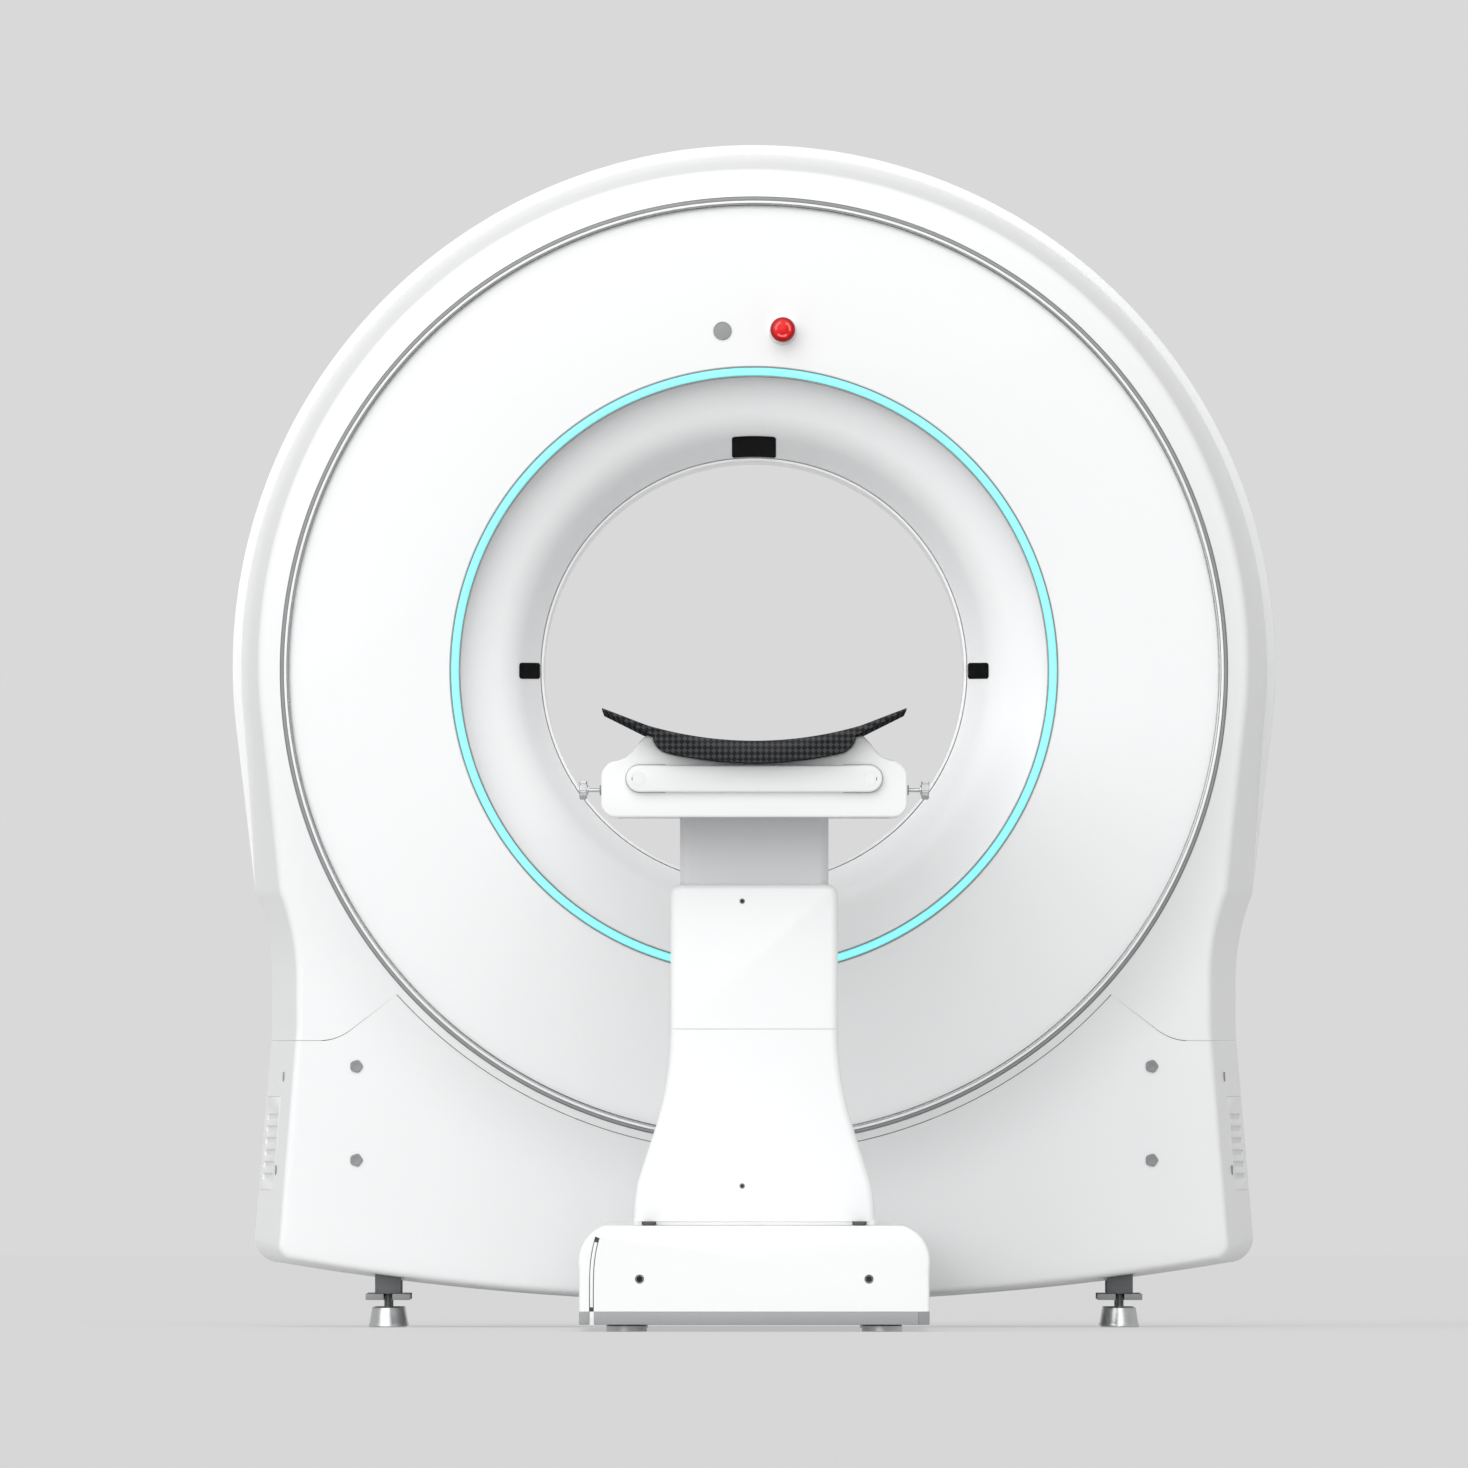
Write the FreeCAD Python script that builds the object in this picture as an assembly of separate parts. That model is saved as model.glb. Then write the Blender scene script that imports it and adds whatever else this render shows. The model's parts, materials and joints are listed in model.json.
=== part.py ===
import FreeCAD, Part
import math
import os
from FreeCAD import Rotation, Vector

# A small-bore CT scanner: a round gantry on levelling feet, with a patient table in front of it.
# Millimetres. X is across, Y runs from the table's end into the gantry, Z is up.
# The origin is on the floor, below the middle of the machine. A "depth" is measured
# backwards from the gantry's front plane.

overall_depth = 2400.0
gantry_depth = 720.0
bore_radius = 300.0
bore_height = 938.0
seat_gap = 0.3
slide_gap = 0.3
shaft_gap = 0.05

# Gantry housing outline, seen from the front.
crown_radius = 747.0
crown_rise = 8.0
crown_turn = 7.0
kink_half = crown_radius - 33.0
kink_height = 620.0
waist_half = crown_radius - 57.0
waist_top = 496.0
waist_low = 425.0
skirt_half = crown_radius - 32.0
skirt_low = 92.0
skirt_corner = 36.0
belly_low = 35.0

# Gantry housing shells: the insets are how far the outline draws in at each end.
shell_wall = 6.0
split_depth = 350.0
front_crown_inset = 41.0
front_side_inset = 41.0
front_base_inset = 7.0
split_crown_inset = 12.0
rear_bevel = 8.0
rear_rim = 6.0
front_plane_depth = 36.0
flank_start_depth = 6.0
flank_width = 113.0
seam_height = 410.0
seam_gap = 1.0
seam_flange = 11.0
seam_knee_half = skirt_half - 119.0
seam_knee_run = 25.0
seam_meet_angle = 42.2

# Front panel rings, by radius and depth.
trim_outer = crown_radius - 70.0
trim_width = 14.0
trim_crest_depth = 1.0
panel_outer_depth = 10.0
panel_inner_depth = -8.0
panel_back_depth = 18.0
light_outer = 434.0
light_width = 14.0
light_proud = 1.0
flare_depth = 27.0
flare_bend = 40.0
flare_bend_depth = 40.0
flare_wall = 6.0
tunnel_wall = 4.0
lip_depth = 98.0

# Laser windows on the flare.
window_radial = 31.0
window_top_width = 63.0
window_side_width = 23.0
window_proud = 1.0

# Emergency stop and status lamp on the front panel.
control_height = 1423.0
stop_x = 41.0
button_sides = 20
stop_head_radius = 18.0
stop_head_length = 16.0
stop_collar_radius = 20.0
stop_collar_length = 8.0
stop_stem_size = 10.0
stop_travel = 5.0
stop_pin_radius = 4.0
stop_pin_length = 6.0
lamp_x = -45.0
lamp_radius = 13.0
lamp_proud = 3.0

# Small parts on the lower cover.
cap_radius = 9.3
cap_sides = 12
cap_proud = 3.0
cap_half = skirt_half - 147.0
cap_clearance = 11.1
cap_spacing = 134.0
cap_drop = math.sqrt((trim_outer + flank_width + cap_clearance) ** 2 - cap_half ** 2)
vent_depths = (165.0, 333.0)
vent_heights = (196.0, 330.0)
vent_slots = 6
vent_slot_height = 8.0
vent_slot_pitch = 17.0
vent_slot_low = 212.0
vent_margin = 16.0

# Gantry frame and feet.
frame_plate_depth = 490.0
frame_plate_wall = 20.0
frame_half = crown_radius - 127.0
frame_rise = crown_radius - 185.0
beam_half = skirt_half - 192.0
beam_width = 100.0
beam_low = 90.0
beam_high = 160.0
beam_wall = 8.0
beam_front_depth = 70.0
beam_rear_depth = gantry_depth - 60.0
cross_beam_width = 60.0
post_size = 40.0
post_heights = (300.0, 1100.0)
foot_front_depth = 120.0
foot_rear_depth = gantry_depth - 120.0
foot_block_size = 37.0
foot_block_low = 48.0
foot_hole_gap = 4.0
foot_stud_radius = 5.7
foot_pad_height = 28.5
foot_top_radius = 22.5
foot_low_radius = 27.5
foot_sides = 6
lock_plate_size = 64.0
lock_plate_wall = 9.0

# Rotor.
hub_inner = 318.0
hub_outer = 400.0
rotor_plate_depth = 400.0
rotor_plate_wall = 25.0
rotor_flats = crown_radius - 107.0
bearing_outer = 450.0
bearing_width = 50.0
hub_sides = 40
pulley_teeth = 20
belt_width = 30.0
belt_wall = 4.0
pulley_radius = 45.0
pulley_x = 360.0
pulley_drop = 430.0
motor_size = 130.0
motor_clearance = 33.0
motor_socket = 40.0
motor_shaft_radius = 12.0
tube_radius_low = 430.0
tube_height = 170.0
tube_width = 240.0
tube_length = 200.0
collimator_height = 40.0
detector_inner = crown_radius - 287.0
detector_wall = 70.0
detector_width = 120.0
detector_half_angle = 32.0
focus_radius = 500.0
generator_width = 150.0
generator_height = 260.0
generator_length = 200.0
balance_share = 0.375

# Patient table, base.
table_half = 246.0
base_plate_low = 10.0
base_plate_wall = 18.5
base_top = 149.0
base_corner_width = 37.0
base_corner_height = 60.0
base_cover_wall = 5.0
base_slit_gap = 6.6
base_slit_inset = 14.4
base_slit_top = 131.0
base_slit_reach = 30.0
base_slit_depth = 14.0
base_clearance = 30.0
base_foot_radius = 28.5
base_foot_half = 179.5
base_foot_inset = 90.0
tie_half = 70.0
rail_half = 148.0
rail_width = 16.5
rail_height = 5.6
rail_margin = 25.0

# Patient table, column.
column_start = 330.0
column_foot_half = 169.0
column_foot_depth = 150.0
column_half = 117.5
column_seam = 425.0
column_top = 629.0
column_bend_radius = 456.0
column_bend_turn = 18.0
column_toe_height = 178.0
column_wall = 5.0
column_corner = 14.0
column_travel = 900.0
profile_wall = 7.0
stage_half = 104.5
stage_half_depth = 97.0
stage_wall = 6.0
stage_corner = 14.0
stage_low = 300.0
stage_gap = 0.5
shoe_length = 60.0
shoe_width = 28.0
carriage_rise = 12.0
carriage_wall = 10.0
lug_half = 12.0
lug_drop = 20.0
slot_side_gap = 3.0
slot_end_gap = 5.0
actuator_size = 80.0
actuator_top = 520.0
actuator_floor = 20.0
lift_rod_radius = 15.0
lift_rod_low = 290.0

# Cradle holder and cradle.
holder_low = 722.5
holder_half = 215.0
holder_length = 500.0
holder_wall = 6.0
holder_plate_wall = 8.0
holder_corner = 20.0
holder_lip_height = 21.0
holder_lip_width = 18.0
cup_floor = 12.0
seat_height = holder_low + 76.5
bar_half = 180.0
bar_high = seat_height - 3.0
bar_height = 38.0
bar_proud = 12.0
clamp_height = seat_height - 38.0
clamp_rod_radius = 2.8
clamp_rod_inner = 185.0
clamp_head_radius = 13.5
clamp_head_length = 11.0
clamp_head_start = 235.0
clamp_setback = 110.0
clamp_sides = 12
cradle_half = 214.0
cradle_length = 1540.0
cradle_overhang = 40.0
cradle_thickness = 31.0
cradle_edge = 3.5

# The cradle's and the holder's corners, as half width and rise above the cradle's lowest line.
cup_tip = (cradle_half, 73.5)
cup_horn = (142.0, 37.5)
cup_turn = (136.0, 23.0)
cup_flat = (124.0, 14.5)
wing_bend = (150.0, 52.5)
horn_top = (150.0, 37.5)
horn_foot = (158.0, 33.0)
saddle_end = (horn_foot[0] + 8.0, 24.0)
saddle = (horn_foot[0] + 18.0, 12.0)
shoulder_end = (holder_half - 23.0, 4.0)
shoulder = (holder_half - 6.0, -5.0)
holder_side = (holder_half, -17.0)

gantry_front = overall_depth / 2 - gantry_depth
tunnel_outer = bore_radius + tunnel_wall
table_front = -overall_depth / 2
bore_axis = Vector(0, 1, 0)


def span_box(x_span, y_span, z_span):
    low = Vector(x_span[0], y_span[0], z_span[0])
    return Part.makeBox(x_span[1] - x_span[0], y_span[1] - y_span[0], z_span[1] - z_span[0], low)


def rod_y(radius, y_span, x, z):
    return Part.makeCylinder(radius, y_span[1] - y_span[0], Vector(x, y_span[0], z), bore_axis)


def rod_z(radius, z_span, x, y):
    return Part.makeCylinder(radius, z_span[1] - z_span[0], Vector(x, y, z_span[0]))


def depth_y(depth):
    return gantry_front + depth


def turned(profile):
    # A ring about the bore's axis; the profile is a closed list of (radius, depth).
    corners = [Vector(radius, depth_y(depth), bore_height) for radius, depth in profile]
    face = Part.Face(Part.makePolygon(corners + corners[:1]))
    return face.revolve(Vector(0, 0, bore_height), bore_axis, 360)


def outline(start, moves):
    # Each move is (end,) for a line, or (middle, end) for an arc. Points are (x, z).
    def flat(point):
        return Vector(point[0], 0, point[1])

    edges = []
    here = start
    for move in moves:
        if len(move) == 1:
            edges.append(Part.LineSegment(flat(here), flat(move[0])).toShape())
        else:
            edges.append(Part.Arc(flat(here), flat(move[0]), flat(move[1])).toShape())
        here = move[-1]
    return Part.Wire(edges)


def slab(wire, y_span):
    face = Part.Face(wire)
    face.translate(Vector(0, y_span[0], 0))
    return face.extrude(Vector(0, y_span[1] - y_span[0], 0))


def polygon(points):
    return outline(points[0], [(point,) for point in points[1:] + points[:1]])


def many_sided(radii, sides, height):
    # A prism standing along +Z, or a tapered one where its two radii differ.
    rings = []
    for radius, level in zip(radii, (0, height)):
        corners = []
        for index in range(sides):
            turn = 2 * math.pi * (index + 0.5) / sides
            corners.append(Vector(radius * math.cos(turn), radius * math.sin(turn), level))
        rings.append(Part.makePolygon(corners + corners[:1]))
    return Part.makeLoft(rings, True, True)


def stood(shape, base, way):
    shape.Placement = FreeCAD.Placement(base, Rotation(Vector(0, 0, 1), way))
    return shape


def left_of(point):
    return (-point[0], point[1])


def mirrored(points):
    return [left_of(point) for point in reversed(points)]


def ring_point(radius, degrees):
    turn = math.radians(degrees)
    return (radius * math.cos(turn), bore_height + radius * math.sin(turn))


def single(shape):
    return max(shape.Solids, key=lambda solid: solid.Volume)


# Gantry housing


def shoulder_middle(side_inset):
    # The middle of the arc from the kink down to the upright waist.
    run = kink_half - waist_half
    drop = kink_height - waist_top
    radius = (run * run + drop * drop) / (2 * run)
    half_turn = math.asin(drop / radius) / 2
    x = waist_half - side_inset + radius * (1 - math.cos(half_turn))
    return (x, waist_top + radius * math.sin(half_turn))


def housing_wire(depth, insets):
    crown_inset, side_inset, base_inset = insets
    crown_height = bore_height + crown_rise
    radius = crown_radius - crown_inset
    turn = math.radians(crown_turn)
    shoulder = (radius * math.cos(turn), crown_height - radius * math.sin(turn))
    kink = (kink_half - side_inset, kink_height)
    bend = shoulder_middle(side_inset)
    waist = (waist_half - side_inset, waist_top)
    hip = (waist_half - side_inset, waist_low)
    corner = skirt_corner - 0.4 * side_inset
    side = skirt_half - side_inset
    low = skirt_low + base_inset
    heel = (side, low + corner)
    slack = corner * (1 - math.sqrt(0.5))
    bevel = (side - slack, low + slack)
    toe = (side - corner, low)

    moves = [
        ((0, crown_height + radius), left_of(shoulder)),
        (left_of(kink),),
        (left_of(bend), left_of(waist)),
        (left_of(hip),),
        (left_of(heel),),
        (left_of(bevel),),
        (left_of(toe),),
        ((0, belly_low + base_inset), toe),
        (bevel,),
        (heel,),
        (hip,),
        (waist,),
        (bend, kink),
        (shoulder,),
    ]
    wire = outline(shoulder, moves)
    wire.translate(Vector(0, depth_y(depth), 0))
    return wire


def housing_loft(sections):
    wires = [housing_wire(depth, insets) for depth, insets in sections]
    return Part.makeLoft(wires, True, True)


def housing_prism(depths, insets):
    face = Part.Face(housing_wire(depths[0], insets))
    return face.extrude(Vector(0, depths[1] - depths[0], 0))


def grown(insets, amount):
    return tuple(inset + amount for inset in insets)


front_end = (0.0, (front_crown_inset, front_side_inset, front_base_inset))
split_end = (split_depth, (split_crown_inset, 0.0, 0.0))


def front_face(plane_depth, ring_depth, ring_radius):
    # The front's form behind a plane, with a round flank that rises to the ring's seat.
    return turned(
        [
            (0, ring_depth),
            (ring_radius, ring_depth),
            (ring_radius + flank_width, plane_depth),
            (2 * crown_radius, plane_depth),
            (2 * crown_radius, gantry_depth),
            (0, gantry_depth),
        ]
    )


def front_shell():
    outer = housing_loft([front_end, split_end])
    outer = outer.common(front_face(front_plane_depth, flank_start_depth, trim_outer))
    inner_first = (0.0, grown(front_end[1], shell_wall))
    inner_last = (split_depth, grown(split_end[1], shell_wall))
    inner = housing_loft([inner_first, inner_last])
    inner_front = depth_y(front_plane_depth + shell_wall)
    far = 2 * skirt_half
    inner = inner.common(span_box((-far, far), (inner_front, depth_y(split_depth)), (0, 2 * far)))
    seat = rod_y(trim_outer, (depth_y(-1), depth_y(split_depth)), 0, bore_height)
    return outer.cut(inner).cut(seat)


def lower_region(drop, y_span):
    # Everything below the seam: level at the sides, then a slope, then round below the ring.
    height = seam_height - drop
    radius = trim_outer + seam_flange + drop
    meet = ring_point(radius, -seam_meet_angle)
    slope = math.atan2(meet[1] - height, seam_knee_half - meet[0])
    knee_radius = seam_knee_run / math.tan(slope / 2)
    start = (seam_knee_half + seam_knee_run, height)
    middle = (
        start[0] - knee_radius * math.sin(slope / 2),
        height + knee_radius * (1 - math.cos(slope / 2)),
    )
    end = (
        seam_knee_half - seam_knee_run * math.cos(slope),
        height + seam_knee_run * math.sin(slope),
    )

    far = 2 * skirt_half
    moves = [
        (start,),
        (middle, end),
        (meet,),
        (ring_point(radius, -90), left_of(meet)),
        (left_of(end),),
        (left_of(middle), left_of(start)),
        ((-far, height),),
        ((-far, -height),),
        ((far, -height),),
        ((far, height),),
    ]
    return slab(outline((far, height), moves), y_span)


def rear_shell():
    back = gantry_depth - rear_rim
    bevel_start = back - rear_bevel
    no_inset = (0.0, 0.0, 0.0)
    wall_inset = grown(no_inset, shell_wall)
    body = housing_prism((split_depth, bevel_start), no_inset)
    bevel = housing_loft([(bevel_start, no_inset), (back, grown(no_inset, rear_bevel))])
    inner = housing_prism((split_depth + shell_wall, back - shell_wall), wall_inset)
    opening = housing_prism((split_depth, split_depth + shell_wall), grown(split_end[1], shell_wall))
    hole = rod_y(tunnel_outer + seat_gap, (depth_y(bevel_start), depth_y(gantry_depth)), 0, bore_height)
    return body.fuse(bevel).cut(inner).cut(opening).cut(hole).removeSplitter()


def vent_box(side, margin):
    x_span = (side * skirt_half - 80, side * skirt_half + 80)
    depths = (depth_y(vent_depths[0] + margin), depth_y(vent_depths[1] - margin))
    return span_box(x_span, depths, (vent_heights[0] + margin, vent_heights[1] - margin))


def vent_slots_tool(side):
    slots = []
    far = 2 * skirt_half
    y_span = (depth_y(0), depth_y(split_depth))
    for index in range(vent_slots):
        low = vent_slot_low + index * vent_slot_pitch
        slot = vent_box(side, vent_margin)
        slots.append(slot.common(span_box((-far, far), y_span, (low, low + vent_slot_height))))
    return Part.Compound(slots)


def foot_holes():
    half = foot_block_size / 2 + foot_hole_gap
    holes = []
    for depth in (foot_front_depth, foot_rear_depth):
        for side in (-1, 1):
            x = side * beam_half
            y = depth_y(depth)
            holes.append(span_box((x - half, x + half), (y - half, y + half), (0, beam_low)))
    y = depth_y(foot_front_depth)
    half_x = tie_half + foot_hole_gap
    half_y = cross_beam_width / 2 + foot_hole_gap
    holes.append(span_box((-half_x, half_x), (y - half_y, y + half_y), (0, beam_low)))
    return Part.Compound(holes)


def housing_parts():
    y_span = (depth_y(-50), depth_y(gantry_depth + 50))
    front = front_shell()
    upper = front.cut(lower_region(0, y_span))
    lower = front.common(lower_region(seam_gap, y_span)).cut(foot_holes())
    grilles = []
    for side in (-1, 1):
        grille = lower.common(vent_box(side, seat_gap)).cut(vent_slots_tool(side))
        grilles.append(single(grille))
        lower = lower.cut(vent_box(side, 0))
    rear = rear_shell()
    far = 2 * skirt_half
    top = rear.cut(span_box((-far, far), y_span, (-far, seam_height)))
    low = rear.common(span_box((-far, far), y_span, (-far, seam_height - seam_gap))).cut(foot_holes())
    return {
        "front_upper_cover": single(upper),
        "front_lower_cover": single(lower),
        "rear_upper_cover": single(top),
        "rear_lower_cover": single(low),
        "side_vent_grilles": Part.Compound(grilles),
    }


# Front panel


def panel_slope():
    run = trim_outer - trim_width - light_outer - seat_gap
    return math.atan2(panel_outer_depth - panel_inner_depth, run)


def front_panel():
    edge = trim_outer - seat_gap
    outer = trim_outer - trim_width
    inner = light_outer + seat_gap
    panel = turned(
        [
            (edge, panel_outer_depth),
            (outer, panel_outer_depth),
            (inner, panel_inner_depth),
            (inner, panel_back_depth),
            (edge, panel_back_depth),
        ]
    )
    return panel.cut(on_panel(stop_x, stop_hole()))


def trim_ring():
    # A ridge that lies on the panel's flat margin.
    outer = trim_outer - seat_gap
    inner = trim_outer - trim_width
    crest = trim_outer - trim_width / 2
    return turned([(inner, panel_outer_depth), (crest, trim_crest_depth), (outer, panel_outer_depth)])


def light_ring():
    inner = light_outer - light_width
    front = panel_inner_depth - light_proud
    back = flare_depth + flare_wall
    return turned([(inner, front), (light_outer, front), (light_outer, back), (inner, back)])


def front_flare():
    # A shallow slope from the light ring inwards, then the roll into the bore.
    outer = light_outer - light_width - seat_gap
    lip = tunnel_outer + seat_gap
    bend = lip + flare_bend
    return turned(
        [
            (outer, flare_depth),
            (bend, flare_bend_depth),
            (lip, lip_depth),
            (bend + flare_wall, lip_depth),
            (bend + flare_wall, flare_bend_depth + flare_wall),
            (outer, flare_bend_depth + flare_wall),
        ]
    )


def laser_windows(flare):
    under = flare.translated(Vector(0, -seat_gap, 0))
    over = flare.translated(Vector(0, -seat_gap - window_proud, 0))
    skin = over.cut(under)
    lip = tunnel_outer + seat_gap
    outer = lip + window_radial
    y_span = (depth_y(0), depth_y(lip_depth - window_proud))
    half_top = window_top_width / 2
    half_side = window_side_width / 2
    top = span_box((-half_top, half_top), y_span, (bore_height + lip, bore_height + outer))
    tall = (bore_height - half_side, bore_height + half_side)
    left = span_box((-outer, -lip), y_span, tall)
    right = span_box((lip, outer), y_span, tall)
    return Part.Compound([single(skin.common(place)) for place in (top, left, right)])


def bore_tunnel():
    front = lip_depth - 2
    return turned(
        [
            (bore_radius, front),
            (tunnel_outer, front),
            (tunnel_outer, gantry_depth),
            (bore_radius, gantry_depth),
        ]
    )


# Controls: built along +Z from the panel's surface, then laid on the panel.


def on_panel(x, shape):
    height = control_height - bore_height
    radius = math.hypot(x, height)
    spin = math.degrees(math.atan2(x, height))
    run = radius - light_outer - seat_gap
    depth = panel_inner_depth + run * math.tan(panel_slope())
    placed = shape.copy()
    placed.rotate(Vector(), Vector(1, 0, 0), 90 - math.degrees(panel_slope()))
    placed.translate(Vector(0, depth_y(depth), bore_height + radius))
    placed.rotate(Vector(0, 0, bore_height), bore_axis, spin)
    return placed


def stop_hole():
    half = stop_stem_size / 2 + slide_gap
    reach = 2 * (panel_back_depth - panel_inner_depth)
    return Part.makeBox(2 * half, 2 * half, 2 * reach, Vector(-half, -half, -reach))


def button(radius, height):
    return many_sided((radius, radius), button_sides, height)


def stop_collar():
    return button(stop_collar_radius, stop_collar_length).cut(stop_hole())


def stop_stem():
    half = stop_stem_size / 2
    high = stop_collar_length + stop_travel
    low = panel_inner_depth - panel_back_depth
    stem = Part.makeBox(2 * half, 2 * half, high - low, Vector(-half, -half, low))
    return stem.fuse(Part.makeCylinder(stop_pin_radius, stop_pin_length, Vector(0, 0, high)))


def stop_head():
    # The head turns on the stem's round pin.
    head = button(stop_head_radius, stop_head_length)
    socket = Part.makeCylinder(stop_pin_radius + shaft_gap, stop_pin_length)
    head = head.cut(socket)
    head.translate(Vector(0, 0, stop_collar_length + stop_travel + slide_gap))
    return head


def control_parts():
    return {
        "emergency_stop_collar": on_panel(stop_x, stop_collar()),
        "emergency_stop_stem": on_panel(stop_x, stop_stem()),
        "emergency_stop_head": on_panel(stop_x, stop_head()),
        "status_lamp": on_panel(lamp_x, button(lamp_radius, lamp_proud)),
    }


def cover_caps():
    caps = []
    for side in (-1, 1):
        for drop in (cap_drop, cap_drop + cap_spacing):
            front = depth_y(front_plane_depth - cap_proud)
            place = Vector(side * cap_half, front, bore_height - drop)
            cap = many_sided((cap_radius, cap_radius), cap_sides, cap_proud)
            caps.append(stood(cap, place, bore_axis))
    return Part.Compound(caps)


# Gantry frame and feet


def gantry_frame():
    low = beam_low
    top = bore_height + frame_rise
    top_half = 0.64 * frame_half
    corners = [(frame_half, low), (frame_half, 0.835 * top), (top_half, top)]
    plate_span = (depth_y(frame_plate_depth), depth_y(frame_plate_depth + frame_plate_wall))
    frame = slab(polygon(corners + mirrored(corners)), plate_span)
    for side in (-1, 1):
        x = side * beam_half
        half = beam_width / 2
        y_span = (depth_y(beam_front_depth), depth_y(beam_rear_depth))
        beam = span_box((x - half, x + half), y_span, (beam_low, beam_high))
        bore = span_box(
            (x - half + beam_wall, x + half - beam_wall),
            y_span,
            (beam_low + beam_wall, beam_high - beam_wall),
        )
        frame = frame.fuse(beam.cut(bore))
        post_y = (plate_span[1], depth_y(gantry_depth - rear_rim - shell_wall))
        post_x = side * (frame_half - post_size)
        for height in post_heights:
            post_z = (height - post_size / 2, height + post_size / 2)
            post = span_box((post_x - post_size / 2, post_x + post_size / 2), post_y, post_z)
            frame = frame.fuse(post)
    for depth in (foot_front_depth, foot_rear_depth):
        y = depth_y(depth)
        half = cross_beam_width / 2
        inner = beam_half - beam_width / 2
        frame = frame.fuse(span_box((-inner, inner), (y - half, y + half), (beam_low, beam_high)))
    hole = hub_bar(bearing_outer + seat_gap, frame_plate_depth, frame_plate_wall)
    shaft_x, shaft_z = pulley_place()
    half = motor_shaft_radius + foot_hole_gap
    shaft_hole = span_box((shaft_x - half, shaft_x + half), plate_span, (shaft_z - half, shaft_z + half))
    return single(frame.cut(hole).cut(shaft_hole).removeSplitter())


def foot_parts():
    block_half = foot_block_size / 2
    plate_half = lock_plate_size / 2
    slot_half = foot_stud_radius + 0.5
    plate_low = foot_block_low - lock_plate_wall
    blocks = []
    feet = []
    plates = []
    for depth in (foot_front_depth, foot_rear_depth):
        for side in (-1, 1):
            x = side * beam_half
            y = depth_y(depth)
            block_y = (y - block_half, y + block_half)
            block_x = (x - block_half, x + block_half)
            blocks.append(span_box(block_x, block_y, (foot_block_low, beam_low)))
            foot = many_sided((foot_low_radius, foot_top_radius), foot_sides, foot_pad_height)
            foot.translate(Vector(x, y, 0))
            stud = many_sided((foot_stud_radius, foot_stud_radius), foot_sides, foot_block_low)
            stud.translate(Vector(x, y, 0))
            feet.append(foot.fuse(stud))
            plate_x = (x - plate_half, x + plate_half)
            plate = span_box(plate_x, (y - plate_half, y + plate_half), (plate_low, foot_block_low))
            slot_y = (y - plate_half, y + slot_half)
            slot = span_box((x - slot_half, x + slot_half), slot_y, (plate_low, foot_block_low))
            plates.append(plate.cut(slot))
    return {
        "foot_blocks": Part.Compound(blocks),
        "levelling_feet": Part.Compound(feet),
        "foot_lock_plates": Part.Compound(plates),
    }


# Rotor and drive


def pulley_place():
    return (pulley_x, bore_height - pulley_drop)


def hub_bar(radius, depth, length):
    # Hidden round parts are many-sided, which keeps the model light.
    bar = many_sided((radius, radius), hub_sides, length)
    return stood(bar, Vector(0, depth_y(depth), bore_height), bore_axis)


def rotor_drum():
    corner = rotor_flats / math.cos(math.radians(22.5))
    points = [ring_point(corner, 22.5 + 45 * index) for index in range(8)]
    front = depth_y(rotor_plate_depth)
    plate = slab(polygon(points), (front, front + rotor_plate_wall))
    length = frame_plate_depth + bearing_width - rotor_plate_depth
    hub = hub_bar(hub_outer, rotor_plate_depth, length)
    return plate.fuse(hub).cut(hub_bar(hub_inner, rotor_plate_depth, length)).removeSplitter()


def bearing_ring():
    start = frame_plate_depth + frame_plate_wall / 2 - bearing_width / 2
    flats = math.cos(math.pi / hub_sides)
    outer = hub_bar(bearing_outer, start, bearing_width)
    return outer.cut(hub_bar((hub_outer + seat_gap) / flats, start, bearing_width))


def belt_span():
    start = depth_y(rotor_plate_depth + rotor_plate_wall + 5)
    return (start, start + belt_width)


def belt_loop(growth):
    # The outline round the hub and the pulley, at a distance outside both.
    large = (hub_outer + growth) / math.cos(math.pi / hub_sides)
    small = (pulley_radius + growth) / math.cos(math.pi / pulley_teeth)
    x, z = pulley_place()
    drop = bore_height - z
    toward = math.atan2(-drop, x)
    spread = math.acos((large - small) / math.hypot(x, drop))

    def wrap(radius, centre, first, last, steps):
        turns = [first + (last - first) * index / steps for index in range(steps + 1)]
        return [(centre[0] + radius * math.cos(a), centre[1] + radius * math.sin(a)) for a in turns]

    round_hub = wrap(large, (0, bore_height), toward + spread, toward + 2 * math.pi - spread, hub_sides)
    round_pulley = wrap(small, (x, z), toward - spread, toward + spread, pulley_teeth // 2)
    return polygon(round_hub + round_pulley)


def drive_parts():
    y_span = belt_span()
    belt = slab(belt_loop(seat_gap + belt_wall), y_span).cut(slab(belt_loop(seat_gap), y_span))
    x, z = pulley_place()
    motor_front = depth_y(frame_plate_depth + frame_plate_wall)
    half = motor_size / 2
    motor_back = depth_y(gantry_depth - rear_rim - shell_wall - motor_clearance)
    motor_y = (motor_front, motor_back)
    motor = span_box((x - half, x + half), motor_y, (z - half, z + half))
    socket = rod_y(motor_shaft_radius + shaft_gap, (motor_front, motor_front + motor_socket), x, z)
    pulley = many_sided((pulley_radius, pulley_radius), pulley_teeth, belt_width)
    pulley = stood(pulley, Vector(x, y_span[0], z), bore_axis)
    shaft = rod_y(motor_shaft_radius, (y_span[1], motor_front + motor_socket - 1), x, z)
    return {
        "drive_belt": belt,
        "drive_motor": motor.cut(socket),
        "motor_pulley": pulley.fuse(shaft),
    }


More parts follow.
